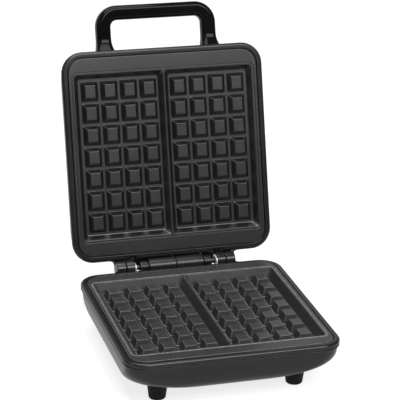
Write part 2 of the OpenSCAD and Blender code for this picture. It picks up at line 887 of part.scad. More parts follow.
module foot_screws() {
    color("#9fa3a7")
        for (p = foot_places)
            translate([p[0], p[1], foot_head_z])
                screw(foot_screw_z - foot_head_z - 0.5);
}

// Steel pin of one side
module hinge_pin() {
    color("#b4b7ba")
        hinge_rod(pin_r, pin_start_x, pin_end_x);
}

module hinge_pin_left() {
    mirror([1, 0, 0])
        hinge_pin();
}

module hinge_pin_right() {
    hinge_pin();
}

// Steel strap on the inner face of a base tower
module hinge_strap() {
    reach = barrel_r - 1;
    cut = 2;
    color("#cfd2d5")
        difference() {
            side_extrude(strap_x, strap_x + strap_t)
                translate([hinge_y, hinge_z])
                    polygon([[-reach, -strap_h / 2], [-reach, strap_h / 2 - cut], [-reach + cut, strap_h / 2],
                        [reach - cut, strap_h / 2], [reach, strap_h / 2 - cut], [reach, -strap_h / 2]]);
            hinge_rod(pin_r, strap_x - 1, strap_x + strap_t + 1);
        }
}

module hinge_strap_left() {
    mirror([1, 0, 0])
        hinge_strap();
}

module hinge_strap_right() {
    hinge_strap();
}

// One half of the middle barrel, drawn for the right side, with its pin bore and wire tunnel
module barrel_half(bore_r) {
    difference() {
        union() {
            hinge_rod(barrel_r, side_gap / 2, side_gap / 2 + barrel_len);
            hinge_rod(neck_r, barrel_len, collar_x);
        }
        hinge_rod(tunnel_r, 0, tunnel_end_x);
        hinge_rod(bore_r, tunnel_end_x, collar_x + 1);
    }
}

// Collar beside the barrel, drawn for the right side
module collar(bore_r) {
    difference() {
        hinge_rod(collar_r, collar_x, collar_x + collar_len);
        hinge_rod(bore_r, collar_x - 1, collar_x + collar_len + 1);
    }
}

module barrel_base_half() {
    color("#1e1e20")
        difference() {
            mirror([1, 0, 0])
                barrel_half(pin_r);
            base_lead_tunnel();
        }
}

module collar_left() {
    color("#1e1e20")
        mirror([1, 0, 0])
            collar(pin_r);
}

module lid_housing() {
    color("#2b2b2e")
        open_lid()
            difference() {
                union() {
                    difference() {
                        union() {
                            lid_dome();
                            for (s = [0, 1])
                                mirror([s, 0, 0])
                                    knuckle(knuckle_x, column_x, 1, dome_low_z);
                            barrel_saddle(side_gap / 2, side_gap / 2 + barrel_len, 1, dome_low_z, hinge_root_h / 2);
                            stop_heels();
                        }
                        lid_dome(shell_wall);
                        translate([0, 0, dome_low_z - 1 + EPS])
                            linear_extrude(1)
                                plan(wall_x - shell_wall, wall_y - shell_wall, wall_corner_r - shell_wall);
                    }
                    intersection() {
                        lid_dome();
                        lid_posts();
                    }
                }
                for (p = frame_screws)
                    translate([p[0], p[1], dome_low_z])
                        cylinder(r = screw_r, h = upper_shield_z + shield_t + screw_bite - dome_low_z);
                for (s = SIDES) {
                    translate([s * carrier_x, -lens_y, carrier_z - 1])
                        cylinder(r = carrier_screw_r, h = 8);
                    translate([s * lens_x, -lens_y, carrier_z])
                        cylinder(r = lens_r, h = 20);
                    translate([s * handle_leg_x, handle_boss_y + 1, handle_screw_z])
                        rotate([90, 0, 0])
                            cylinder(r = screw_r + screw_clear, h = 30);
                }
                for (s = [0, 1])
                    mirror([s, 0, 0])
                        hinge_rod(pin_r + pin_clear, knuckle_x - 1, column_x);
                lead_tunnel(-base_lead_x, lid_lead_bend[2]);
            }
}

// Posts inside the dome for the frame screws, the lamp carrier and the handle screws
module lid_posts() {
    for (p = frame_screws)
        translate([p[0], p[1], upper_shield_z + shield_t])
            cylinder(r = post_r, h = lid_dome_h);
    for (s = SIDES) {
        translate([s * carrier_x, -lens_y, carrier_z + carrier_t])
            cylinder(r = carrier_post_r, h = lid_dome_h);
        translate([s * handle_leg_x, handle_boss_y, handle_screw_z])
            rotate([90, 0, 0])
                cylinder(r = post_r, h = wall_y);
    }
}

// Heels of the lid's knuckles, drawn where they meet the base wall with the lid open
module stop_heels() {
    reach = hinge_back + housing_inset - stop_gap;
    heel_top = hinge_drop - half_seam - base_trim_h - heel_gap;
    heel_low = heel_top - heel_h;
    neck_y = heel_gap - hinge_back;
    for (s = [0, 1])
        mirror([s, 0, 0])
            translate([0, hinge_y, hinge_z])
                rotate([open_angle, 0, 0])
                    side_extrude(knuckle_x, column_x)
                        polygon([[0, -barrel_r / 2], [neck_y, -barrel_r / 2], [neck_y, heel_top],
                            [-reach, heel_top], [-reach, heel_low], [-barrel_r / 2, heel_low]]);
}

module lid_trim() {
    color("#1c1c1f")
        open_lid() {
            difference() {
                translate([0, 0, lid_low_z])
                    mirror([0, 0, 1])
                        ring_sweep(half_w, half_d, corner_r)
                            trim_profile(lid_trim_h);
                for (s = [0, 1])
                    mirror([s, 0, 0])
                        translate([collar_x + collar_len + 2, half_d - notch_depth, lid_low_z - 1])
                            cube([knuckle_x - collar_x - collar_len - 2 - side_gap, notch_depth + 1, lid_trim_h + 2]);
            }
            knuckle_webs(lid_low_z + 1, lid_trim_h - 1);
        }
}

module upper_plate() {
    color("#4a4a4d")
        open_lid()
            translate([0, 0, lid_low_z])
                mirror([0, 0, 1])
                    plate(upper_depth, upper_wall_slope, upper_knob_h, upper_knob_flare);
}

module upper_heater() {
    color("#8a8f94")
        open_lid()
            heater_loop(upper_heater_z);
}

module upper_heater_clamps() {
    color("#b9bcc0")
        open_lid()
            translate([0, 0, upper_back_z])
                mirror([0, 0, 1])
                    heater_clamps();
}

module upper_heater_ceramics() {
    color("#e8e2d4")
        open_lid()
            heater_ceramics(upper_heater_z);
}

module upper_heat_shield() {
    color("#c4c7ca")
        open_lid()
            translate([0, 0, upper_shield_z + shield_t])
                mirror([0, 0, 1])
                    heat_shield(concat(plate_screws, frame_screws), screw_r + screw_clear);
}

module upper_plate_screws() {
    color("#9fa3a7")
        open_lid()
            for (p = plate_screws)
                translate([p[0], p[1], upper_shield_z + shield_t])
                    mirror([0, 0, 1])
                        screw(shield_t + screw_bite - 0.5);
}

module lid_frame_screws() {
    color("#9fa3a7")
        open_lid()
            for (p = frame_screws)
                translate([p[0], p[1], upper_shield_z])
                    screw(shield_t + screw_bite - 0.5);
}

module lid_leads() {
    over_z = upper_shield_z + shield_t + lead_r + 1;
    color("#b8342c")
        open_lid() {
            lead([[lead_end_x, hinge_y, hinge_z], [-base_lead_x, hinge_y, hinge_z], lid_lead_bend,
                [-base_lead_x, lead_drop_y + 4, over_z], [lens_x, 0, over_z + 2],
                [lens_x, -lens_y, carrier_z - lead_r]]);
            for (s = SIDES)
                lead([[s * run_x, lead_drop_y, upper_heater_z], [s * run_x, lead_drop_y + 2, over_z],
                    [-base_lead_x - s * 3, lead_drop_y + 2, over_z + s * 3]]);
        }
}

module barrel_lid_half() {
    color("#1e1e20")
        open_lid()
            difference() {
                barrel_half(pin_r + pin_clear);
                lead_tunnel(-base_lead_x, lid_lead_bend[2]);
            }
}

module collar_right() {
    color("#1e1e20")
        open_lid()
            collar(pin_r + pin_clear);
}

// Indicator lens with its flange inside the dome
module lens(x) {
    translate([x, -lens_y, dome_ceiling_z - lens_flange_t]) {
        cylinder(r = lens_r + 1.5, h = lens_flange_t);
        cylinder(r = lens_r, h = lens_flange_t + shell_wall + lens_proud);
    }
}

module power_lens() {
    color("#b3201c")
        open_lid()
            lens(-lens_x);
}

module ready_lens() {
    color("#2f8f4a")
        open_lid()
            lens(lens_x);
}

module indicator_lamps() {
    color("#f0c8a0")
        open_lid()
            for (s = SIDES)
                translate([s * lens_x, -lens_y, carrier_z + carrier_t])
                    cylinder(r = lamp_r, h = lamp_h);
}

module lamp_carrier() {
    color("#d9d3c4")
        open_lid()
            difference() {
                translate([-carrier_x - carrier_post_r, -lens_y - carrier_post_r - 2, carrier_z])
                    cube([2 * (carrier_x + carrier_post_r), 2 * (carrier_post_r + 2), carrier_t]);
                for (s = SIDES)
                    translate([s * carrier_x, -lens_y, carrier_z - 1])
                        cylinder(r = carrier_screw_r + screw_clear, h = carrier_t + 2);
            }
}

module lamp_carrier_screws() {
    color("#9fa3a7")
        open_lid()
            for (s = SIDES)
                translate([s * carrier_x, -lens_y, carrier_z])
                    screw(carrier_screw_len, carrier_screw_r, carrier_screw_r + 1.2, carrier_screw_head_h);
}

// Loop of the handle: two legs, two round corners and the front bar, from one profile
module handle_sweep() {
    leg_out = handle_w / 2;
    leg_len = -wall_y + 20 - (handle_front_y + handle_r);
    translate([0, handle_front_y, handle_z])
        rotate([90, 0, -90])
            linear_extrude(height = 2 * (leg_out - handle_r), center = true)
                children();
    for (s = [0, 1])
        mirror([s, 0, 0]) {
            translate([leg_out - handle_r, handle_front_y + handle_r, handle_z])
                rotate([0, 0, -90])
                    rotate_extrude(angle = 90)
                        translate([handle_r, 0])
                            children();
            translate([leg_out, handle_front_y + handle_r + leg_len / 2, handle_z])
                rotate([90, 0, 0])
                    linear_extrude(height = leg_len, center = true)
                        children();
        }
}

// Half profile of the bar, outer edge at X = 0, with rounded edges away from the parting line
module handle_half_profile(up) {
    steps = 6;
    h = handle_t / 2;
    outer = [for (i = [0 : steps])
        let (a = 90 * i / steps)
            [-handle_edge_r + handle_edge_r * cos(a), up * (h - handle_edge_r + handle_edge_r * sin(a))]];
    inner = [for (i = [0 : steps])
        let (a = 90 * i / steps)
            [-handle_bar + handle_edge_r - handle_edge_r * sin(a), up * (h - handle_edge_r + handle_edge_r * cos(a))]];
    polygon(concat([[0, up * handle_seam_gap / 2]], outer, inner, [[-handle_bar, up * handle_seam_gap / 2]]));
}

module handle_grip() {
    color("#161618")
        open_lid()
            difference() {
                handle_sweep()
                    handle_half_profile(-1);
                lid_dome();
                for (s = SIDES)
                    translate([s * handle_leg_x, handle_boss_y, handle_screw_z])
                        rotate([90, 0, 0])
                            cylinder(r = screw_r, h = handle_boss_y - handle_bite_y);
            }
}

module handle_crest() {
    color("#161618")
        open_lid()
            difference() {
                handle_sweep()
                    handle_half_profile(1);
                lid_dome();
            }
}

module handle_screws() {
    color("#9fa3a7")
        open_lid()
            for (s = SIDES)
                translate([s * handle_leg_x, handle_boss_y, handle_screw_z])
                    rotate([90, 0, 0])
                        screw(handle_boss_y - handle_bite_y - 1);
}

base_housing();
base_trim();
lower_plate();
lower_heater();
lower_heater_clamps();
lower_heater_ceramics();
lower_heat_shield();
lower_plate_screws();
thermostat();
thermostat_strap();
thermal_fuse();
terminal_block();
base_leads();
cord_inlet_bush();
cord_inlet_nut();
foot_front_left();
foot_front_right();
foot_rear_left();
foot_rear_right();
foot_pads();
foot_screws();
hinge_pin_left();
hinge_pin_right();
hinge_strap_left();
hinge_strap_right();
barrel_base_half();
collar_left();
lid_housing();
lid_trim();
upper_plate();
upper_heater();
upper_heater_clamps();
upper_heater_ceramics();
upper_heat_shield();
upper_plate_screws();
lid_frame_screws();
lid_leads();
barrel_lid_half();
collar_right();
power_lens();
ready_lens();
indicator_lamps();
lamp_carrier();
lamp_carrier_screws();
handle_grip();
handle_crest();
handle_screws();
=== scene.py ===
"""Double waffle maker with its lid open: surfaces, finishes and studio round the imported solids."""

import json
import logging
import math
from collections.abc import Callable, Sequence
from dataclasses import dataclass, field, replace
from enum import Enum

import bpy
from mathutils import Matrix, Vector


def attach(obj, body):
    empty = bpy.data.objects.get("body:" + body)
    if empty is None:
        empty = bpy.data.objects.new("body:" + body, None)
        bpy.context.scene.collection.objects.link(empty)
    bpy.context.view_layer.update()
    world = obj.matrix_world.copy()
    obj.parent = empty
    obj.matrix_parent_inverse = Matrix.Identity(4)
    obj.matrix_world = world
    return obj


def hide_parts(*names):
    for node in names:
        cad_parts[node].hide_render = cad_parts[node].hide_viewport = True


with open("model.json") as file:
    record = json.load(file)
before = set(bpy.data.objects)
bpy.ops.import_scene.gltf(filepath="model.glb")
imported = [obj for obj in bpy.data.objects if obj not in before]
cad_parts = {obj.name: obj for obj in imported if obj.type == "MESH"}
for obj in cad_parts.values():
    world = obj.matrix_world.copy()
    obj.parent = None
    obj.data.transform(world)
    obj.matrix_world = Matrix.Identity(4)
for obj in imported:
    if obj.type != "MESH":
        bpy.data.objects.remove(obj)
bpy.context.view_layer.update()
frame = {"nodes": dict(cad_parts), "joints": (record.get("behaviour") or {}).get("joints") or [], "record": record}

logging.basicConfig(level=logging.INFO, format="%(message)s")
log = logging.getLogger("waffle_maker")

Colour = tuple[float, float, float, float]
Material = bpy.types.Material
Node = bpy.types.Node
Outline = list[tuple[float, float]]
Piece = bpy.types.Object
Place = tuple[float, float, float]
Ring = list[Vector]
Socket = bpy.types.NodeSocket
Masks = dict[str, Socket]

MM = 0.001
FRAME_PX = 400
SENSOR_MM = 36.0
SIDES = {-1: "left", 1: "right"}
UPWARD = Vector((0, 0, 1))
BACKWARD = Vector((0, 1, 0))
# Radius of the tiny end face that stands for a point on the axis of a turned piece.
AXIS_R = 0.01
# Radius of a corner that counts as square.
SQUARE_R = 0.02
# Share of a side that the arcs at its two ends may take up together.
ARC_ROOM = 0.96
# Bends smaller than this, in radians, count as straight.
STRAIGHT = 1e-3
# Edges that bend more than these, in degrees, stay sharp: on most pieces, after cutting or
# rounding, and on the trims, the barrel, the plates and the handle.
USUAL_SHARP = 35.0
RESHAPED_SHARP = 38.0
TRIM_SHARP = 30.0
TURNED_SHARP = 30.0
PLATE_SHARP = 50.0
HANDLE_SHARP = 40.0


def grey(value: float, warmth: float = 0.0) -> Colour:
    """Makes a near-neutral colour in which red gains over blue by a share, the warmth."""
    return (value * (1 + warmth), value, value * (1 - warmth), 1.0)


class BodyName(Enum):
    """The two rigid bodies of the waffle maker."""

    BASE = "base"
    LID = "lid"

    @property
    def up(self) -> int:
        """Gives -1 for the base, which lies below the seam, and 1 for the lid."""
        return -1 if self is BodyName.BASE else 1


# ---- Outlines and meshes, in millimetres ----


def arc_angles(steps: int, start: float = 0.0, sweep: float = 90.0) -> list[float]:
    """Gives an arc's angles in radians, both ends included, from a start and sweep in degrees."""
    return [math.radians(start + sweep * k / steps) for k in range(steps + 1)]


def side_span(near: float, far: float, side: int) -> tuple[float, float]:
    """Gives a span along X on the right side (1), or its mirror image on the left one (-1)."""
    return (near, far) if side > 0 else (-far, -near)


def rounded_path(points: Outline, radii: Sequence[float], steps: int = 5) -> Outline:
    """Rounds the inner corners of an open path with arcs.

    Args:
        points: Corner points of the path.
        radii: One radius per point; those of the ends only keep room for a neighbour's arc.
        steps: Segments in each arc.

    Returns:
        The path with each corner replaced by its arc.
    """
    out: Outline = [points[0]]
    for i in range(1, len(points) - 1):
        a, b, c = (Vector(points[k]) for k in (i - 1, i, i + 1))
        to_a, to_c, radius = a - b, c - b, radii[i]
        angle = to_a.angle(to_c)
        if radius <= 0 or angle > math.pi - STRAIGHT:
            out.append((b.x, b.y))
            continue
        room_a = ARC_ROOM * to_a.length * radius / (radius + radii[i - 1])
        room_c = ARC_ROOM * to_c.length * radius / (radius + radii[i + 1])
        reach = min(radius / math.tan(angle / 2), room_a, room_c)
        radius = reach * math.tan(angle / 2)
        to_a, to_c = to_a.normalized(), to_c.normalized()
        centre = b + (to_a + to_c).normalized() * radius / math.sin(angle / 2)
        first, last = b + to_a * reach - centre, b + to_c * reach - centre
        turn = first.angle_signed(last)
        for k in range(steps + 1):
            spoke = first.copy()
            spoke.rotate(Matrix.Rotation(-turn * k / steps, 2))
            out.append((centre.x + spoke.x, centre.y + spoke.y))
    return [*out, points[-1]]


def rounded_loop(points: Outline, radii: Sequence[float], steps: int = 5) -> Outline:
    """Rounds every corner of a closed outline.

    Args:
        points: Corner points of the outline.
        radii: One radius per point.
        steps: Segments in each arc.

    Returns:
        The closed outline, without a repeated last point.
    """
    out: Outline = []
    for i in range(len(points)):
        trio = (i - 1, i, (i + 1) % len(points))
        out += rounded_path([points[k] for k in trio], [radii[k] for k in trio], steps)[1:-1]
    return out


def plan_ring(half_x: float, half_y: float, radius: float, z: float, middle_x: float = 0.0,
              middle_y: float = 0.0, steps: int = 8, square_side: int = 0) -> Ring:
    """Makes a rounded rectangle, anticlockwise seen from above.

    Args:
        half_x: Half of its width.
        half_y: Half of its depth.
        radius: Radius of its corners.
        z: Its height.
        middle_x: X of its middle.
        middle_y: Y of its middle.
        steps: Segments in each corner.
        square_side: Side with square corners: -1 for left, 1 for right, 0 for none.

    Returns:
        The points of the ring.
    """
    ring: Ring = []
    for quarter, (sx, sy) in enumerate(((1, 1), (-1, 1), (-1, -1), (1, -1))):
        r = SQUARE_R if sx == square_side else radius
        r = max(SQUARE_R, min(r, half_x - AXIS_R, half_y - AXIS_R))
        x, y = middle_x + sx * (half_x - r), middle_y + sy * (half_y - r)
        ring += [Vector((x + r * math.cos(a), y + r * math.sin(a), z))
                 for a in arc_angles(steps, 90 * quarter)]
    return ring


@dataclass
class Draft:
    """One piece before it becomes a mesh: its name, body and place, and its shape in millimetres.

    The placement is the matrix that puts the shape in its place, and edges that bend more than
    sharp_degrees stay sharp.
    """

    name: str
    body: BodyName
    placement: Matrix = field(default_factory=lambda: Matrix.Identity(4))
    sharp_degrees: float = USUAL_SHARP
    points: list[Vector] = field(default_factory=list)
    faces: list[list[int]] = field(default_factory=list)

    def loft(self, rings: Sequence[Ring], cap_first: bool = False, cap_last: bool = False,
             wrap: bool = False, flip: bool = False) -> "Draft":
        """Joins rings of equal length with quads.

        Args:
            rings: The rings, in order.
            cap_first: Whether the first ring is closed with a face.
            cap_last: Whether the last ring is closed with a face.
            wrap: Whether the last ring joins the first one.
            flip: Whether the faces turn the other way.

        Returns:
            The draft itself, so that calls can be chained.
        """
        start, n, count = len(self.points), len(rings[0]), len(rings)
        new_faces: list[list[int]] = []
        for ring in rings:
            self.points.extend(ring)
        for level in range(count if wrap else count - 1):
            a, b = start + level * n, start + (level + 1) % count * n
            new_faces += [[a + i, a + (i + 1) % n, b + (i + 1) % n, b + i] for i in range(n)]
        if cap_last:
            new_faces.append([start + (count - 1) * n + i for i in range(n)])
        if cap_first:
            new_faces.append([start + i for i in reversed(range(n))])
        self.faces += [face[::-1] for face in new_faces] if flip else new_faces
        return self

    def lathe(self, profile: Outline, origin: Vector, axis: Vector, steps: int,
              wrap: bool = False) -> "Draft":
        """Turns a profile round an axis; its points give radius and distance along the axis.

        Args:
            profile: Radius and distance of each point, with the outside on the left.
            origin: Where the axis starts.
            axis: Unit vector along the axis.
            steps: Segments round the axis.
            wrap: Whether the last point joins the first one.

        Returns:
            The draft itself.
        """
        side = axis.orthogonal().normalized()
        across = axis.cross(side)
        spokes = [side * math.cos(a) + across * math.sin(a)
                  for a in arc_angles(steps, 0, 360)[:-1]]
        rings = [[origin + axis * d + spoke * max(r, AXIS_R) for spoke in spokes]
                 for r, d in profile]
        return self.loft(rings, profile[0][0] <= 0, profile[-1][0] <= 0, wrap)

    def prism(self, outline: Outline, span: tuple[float, float]) -> "Draft":
        """Extrudes an outline of Y and Z, anticlockwise seen from +X, over a span of X."""
        rings = [[Vector((x, y, z)) for y, z in outline] for x in span]
        return self.loft(rings, cap_first=True, cap_last=True)

    def piece(self) -> Piece:
        """Turns the draft into an object that rides on its body.

        Returns:
            The new object.
        """
        mirrored = self.placement.determinant() < 0
        mesh = bpy.data.meshes.new(self.name)
        mesh.from_pydata([tuple((self.placement @ point) * MM) for point in self.points], [],
                         [face[::-1] if mirrored else face for face in self.faces])
        mesh.validate()
        piece = add_object(self.name, mesh)
        even_shading(piece, self.sharp_degrees)
        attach(piece, self.body.value)
        log.info("piece %-26s %6d faces, rides on %s", self.name, len(piece.data.polygons),
                 self.body.value)
        return piece


def add_object(name: str, data: bpy.types.ID) -> Piece:
    """Adds an object with its data to the scene.

    Args:
        name: Name of the object.
        data: Its mesh, lamp or camera.

    Returns:
        The object.
    """
    added = bpy.data.objects.new(name, data)
    bpy.context.scene.collection.objects.link(added)
    return added


def add_modifier(piece: Piece, name: str, kind: str, **settings: object) -> None:
    """Adds a modifier to a piece.

    Args:
        piece: The piece.
        name: Name of the modifier.
        kind: Its type name.
        settings: Its settings by name.
    """
    modifier = piece.modifiers.new(name, kind)
    for key, value in settings.items():
        setattr(modifier, key, value)


def turn_modifiers_into_mesh(piece: Piece) -> None:
    """Replaces a piece's mesh by what its modifiers make of it.

    Args:
        piece: The piece.
    """
    bpy.context.view_layer.update()
    graph = bpy.context.evaluated_depsgraph_get()
    mesh = bpy.data.meshes.new_from_object(piece.evaluated_get(graph))
    piece.modifiers.clear()
    piece.data = mesh


def even_shading(piece: Piece, sharp_degrees: float) -> None:
    """Shades a piece smoothly, with its flat faces flat right up to their rounded edges.

    Args:
        piece: The piece.
        sharp_degrees: Edges that bend more than this stay sharp.
    """
    piece.data.shade_smooth()
    piece.data.set_sharp_from_angle(angle=math.radians(sharp_degrees))
    add_modifier(piece, "flat faces stay flat", "WEIGHTED_NORMAL", mode="FACE_AREA",
                 keep_sharp=True)
    turn_modifiers_into_mesh(piece)


def apply_modifiers(piece: Piece) -> None:
    """Turns a piece's modifiers into mesh and shades it evenly again.

    Args:
        piece: The piece.
    """
    own_normals = piece.data.attributes.get("custom_normal")
    if own_normals is not None:
        piece.data.attributes.remove(own_normals)
    turn_modifiers_into_mesh(piece)
    even_shading(piece, RESHAPED_SHARP)


def round_sharp_edges(piece: Piece, width: float, segments: int, degrees: float) -> None:
    """Rounds the edges of a piece that bend more than some degrees, over a width in mm."""
    add_modifier(piece, "round edges", "BEVEL", width=width * MM, segments=segments,
                 limit_method="ANGLE", angle_limit=math.radians(degrees), use_clamp_overlap=True)
    apply_modifiers(piece)


def cut_away(piece: Piece, cutters: Sequence[Piece]) -> None:
    """Cuts solid shapes out of a piece and removes the cutters.

    Args:
        piece: The piece that is cut.
        cutters: Closed shapes to take away.
    """
    for cutter in cutters:
        add_modifier(piece, "cut", "BOOLEAN", operation="DIFFERENCE", solver="EXACT",
                     object=cutter)
    apply_modifiers(piece)
    for cutter in cutters:
        mesh = cutter.data
        bpy.data.objects.remove(cutter)
        bpy.data.meshes.remove(mesh)


# ---- Shader effects that several finishes share ----


class Effect(Enum):
    """Shader node groups, each built once."""

    HAZE = "soft haze and wipe marks"
    GRAIN = "fine surface grain"
    WEAR = "worn edges"
    BRUSHING = "drawn metal lines"
    SPECKS = "fine specks"
    # Thin lines along edges, painted lighter as highlights.
    EDGES = "thin light edges"


@dataclass
class NodeSheet:
    """A node tree with short calls for adding and linking nodes."""

    tree: bpy.types.NodeTree

    def add(self, kind: str, **values: object) -> Node:
        """Adds a node.

        Args:
            kind: Type name of the node.
            values: Its attributes, and values or sockets for its inputs, with spaces as
                underscores.

        Returns:
            The new node.
        """
        node = self.tree.nodes.new(kind)
        for key, value in values.items():
            if hasattr(node, key):
                setattr(node, key, value)
            else:
                self.feed(value, node.inputs[key.replace("_", " ")])
        return node

    def feed(self, source: object, target: Socket) -> None:
        """Gives an input its value.

        Args:
            source: A socket to link, or a plain value.
            target: The input.
        """
        if isinstance(source, bpy.types.NodeSocket):
            self.tree.links.new(source, target)
        else:
            target.default_value = source

    def ramp(self, source: Socket, low: float, high: float, a: float = 0.0,
             b: float = 1.0) -> Socket:
        """Maps the range from low to high to the range from a to b, clamped."""
        return self.add("ShaderNodeMapRange", Value=source, From_Min=low, From_Max=high,
                        To_Min=a, To_Max=b).outputs["Result"]

    def pair(self, kind: str, operation: str, a: Socket, b: Socket | float) -> Node:
        """Adds a node that joins two inputs by an operation.

        Args:
            kind: Type name of the node.
            operation: Name of the operation.
            a: The first input.
            b: The second input, a socket or a number.

        Returns:
            The new node.
        """
        node = self.add(kind, operation=operation)
        for source, target in zip((a, b), node.inputs):
            self.feed(source, target)
        return node

    def math(self, operation: str, a: Socket, b: Socket | float) -> Socket:
        """Joins a value with a second value or a number."""
        return self.pair("ShaderNodeMath", operation, a, b).outputs[0]

    def times(self, a: Socket, b: Socket | float) -> Socket:
        """Multiplies a value by a second value or a number."""
        return self.math("MULTIPLY", a, b)

    def blend(self, a: Socket, b: Socket, share: float) -> Socket:
        """Blends two values, with a fixed share of the second one."""
        return self.math("ADD", self.times(a, 1 - share), self.times(b, share))

    def mixed(self, share: Socket, a: Colour | Socket, b: Colour) -> Socket:
        """Mixes two colours.

        Args:
            share: How much of the second colour there is.
            a: The first colour, a value or a socket.
            b: The second colour.

        Returns:
            The socket with the mixed colour.
        """
        node = self.add("ShaderNodeMix", data_type="RGBA")
        colours = [socket for socket in node.inputs if socket.type == "RGBA"]
        for source, target in zip((share, a, b), (node.inputs[0], *colours)):
            self.feed(source, target)
        return next(socket for socket in node.outputs if socket.type == "RGBA")

    def noise(self, place: Socket, scale: float, detail: float, roughness: float) -> Socket:
        """Adds noise: how fine it is per metre, its layers and how strong the finer ones are."""
        return self.add("ShaderNodeTexNoise", Vector=place, Scale=scale, Detail=detail,
                        Roughness=roughness).outputs[0]

    def cells(self, place: Socket, scale: float) -> Socket:
        """Adds a cell texture and gives the distance to the middle of the nearest cell."""
        return self.add("ShaderNodeTexVoronoi", Vector=place, Scale=scale).outputs["Distance"]

    def stretched(self, place: Socket, scale: Place) -> Socket:
        """Stretches coordinates by a factor along each axis."""
        return self.add("ShaderNodeMapping", Vector=place, Scale=scale).outputs[0]


class EffectLibrary:
    """Builds the shared shader effects and hands them out."""

    def __init__(self) -> None:
        """Builds every effect."""
        self.groups: dict[Effect, bpy.types.NodeTree] = {}
        for effect, draw in (
                (Effect.HAZE, self._haze), (Effect.GRAIN, self._grain), (Effect.WEAR, self._wear),
                (Effect.BRUSHING, self._brushing), (Effect.SPECKS, self._specks),
                (Effect.EDGES, self._edges)):
            self.groups[effect] = self._group(effect, draw)

    @staticmethod
    def _group(effect: Effect, draw: Callable[[NodeSheet, Socket], Masks]) -> bpy.types.NodeTree:
        """Builds a node group with a scale input and the outputs that its effect draws.

        Args:
            effect: Which effect the group is for.
            draw: Draws the effect from the object coordinates and gives its outputs by name.

        Returns:
            The group.
        """
        tree = bpy.data.node_groups.new(effect.value, "ShaderNodeTree")
        scale = tree.interface.new_socket("Scale", in_out="INPUT", socket_type="NodeSocketFloat")
        scale.default_value = 1.0
        sheet = NodeSheet(tree)
        inside = sheet.add("NodeGroupInput")
        place = sheet.add("ShaderNodeTexCoord").outputs["Object"]
        grown = sheet.add("ShaderNodeVectorMath", operation="SCALE", Vector=place,
                          Scale=inside.outputs["Scale"])
        outputs = draw(sheet, grown.outputs[0])
        for name in outputs:
            tree.interface.new_socket(name, in_out="OUTPUT", socket_type="NodeSocketFloat")
        sheet.add("NodeGroupOutput", **outputs)
        return tree

    @staticmethod
    def _haze(sheet: NodeSheet, place: Socket) -> Masks:
        """Draws broad clouds crossed by long wipe marks.

        Args:
            sheet: The nodes of its group.
            place: The scaled coordinates.

        Returns:
            Its outputs by name.
        """
        clouds = sheet.ramp(sheet.noise(place, 14, 4, 0.6), 0.3, 0.7)
        wipes = sheet.noise(sheet.stretched(place, (34, 5, 34)), 3, 3, 0.5)
        return {"Mask": sheet.times(clouds, sheet.ramp(wipes, 0.32, 0.68, 0.35, 1.0)),
                "Height": sheet.noise(place, 26, 1, 0.4)}

    @staticmethod
    def _grain(sheet: NodeSheet, place: Socket) -> Masks:
        """Draws a fine even grain with slightly larger pebbles in it.

        Args:
            sheet: The nodes of its group.
            place: The scaled coordinates.

        Returns:
            Its outputs by name.
        """
        pebbles = sheet.ramp(sheet.cells(place, 900), 0.0, 0.6)
        mixed = sheet.blend(sheet.noise(place, 1900, 2, 0.5), pebbles, 0.4)
        return {"Mask": sheet.ramp(mixed, 0.3, 0.75), "Height": mixed}

    @staticmethod
    def _wear(sheet: NodeSheet, place: Socket) -> Masks:
        """Draws a mask that is strong on outer edges and broken up by noise.

        Args:
            sheet: The nodes of its group.
            place: The scaled coordinates.

        Returns:
            Its outputs by name.
        """
        shape = sheet.add("ShaderNodeNewGeometry")
        edge = sheet.ramp(shape.outputs["Pointiness"], 0.515, 0.6)
        broken = sheet.ramp(sheet.noise(place, 160, 4, 0.65), 0.35, 0.62)
        return {"Mask": sheet.times(edge, broken)}

    @staticmethod
    def _edges(sheet: NodeSheet, place: Socket) -> Masks:
        """Draws a mask of thin lines along every edge, a little uneven, where highlights are painted into the
        colour.

        Args:
            sheet: The nodes of its group.
            place: The scaled coordinates.

        Returns:
            Its outputs by name.
        """
        shape = sheet.add("ShaderNodeNewGeometry")
        soft = sheet.add("ShaderNodeBevel", samples=6, Radius=1.0 * MM)
        turned = sheet.pair("ShaderNodeVectorMath", "DOT_PRODUCT", soft.outputs["Normal"],
                            shape.outputs["Normal"])
        line = sheet.ramp(turned.outputs["Value"], 0.91, 0.995, 1.0, 0.0)
        uneven = sheet.ramp(sheet.noise(place, 220, 3, 0.6), 0.3, 0.6, 0.45, 1.0)
        return {"Mask": sheet.times(line, uneven)}

    @staticmethod
    def _brushing(sheet: NodeSheet, place: Socket) -> Masks:
        """Draws fine lines along X, as drawing or rolling leaves them.

        Args:
            sheet: The nodes of its group.
            place: The scaled coordinates.

        Returns:
            Its outputs by name.
        """
        lines = sheet.noise(sheet.stretched(place, (0.03, 1, 1)), 2600, 3, 0.6)
        mixed = sheet.blend(lines, sheet.noise(place, 70, 4, 0.6), 0.5)
        return {"Mask": sheet.ramp(mixed, 0.35, 0.65), "Height": lines}

    @staticmethod
    def _specks(sheet: NodeSheet, place: Socket) -> Masks:
        """Draws sparse small round specks of uneven size."""
        size = sheet.ramp(sheet.noise(place, 260, 2, 0.5), 0.45, 0.75, 0.0, 0.22)
        return {"Mask": sheet.math("LESS_THAN", sheet.cells(place, 430), size)}


class Grain(Enum):
    """What the surface of a finish is like close up, with the scale of its fine grain."""

    POLISHED = ("polished", 0.5)
    MOULDED = ("moulded", 1.0)
    COATED = ("coated", 0.8)
    BRUSHED = ("brushed", 1.0)
    CAST = ("cast", 0.35)

    @property
    def scale(self) -> float:
        """Gives the scale of the fine grain."""
        return self.value[1]


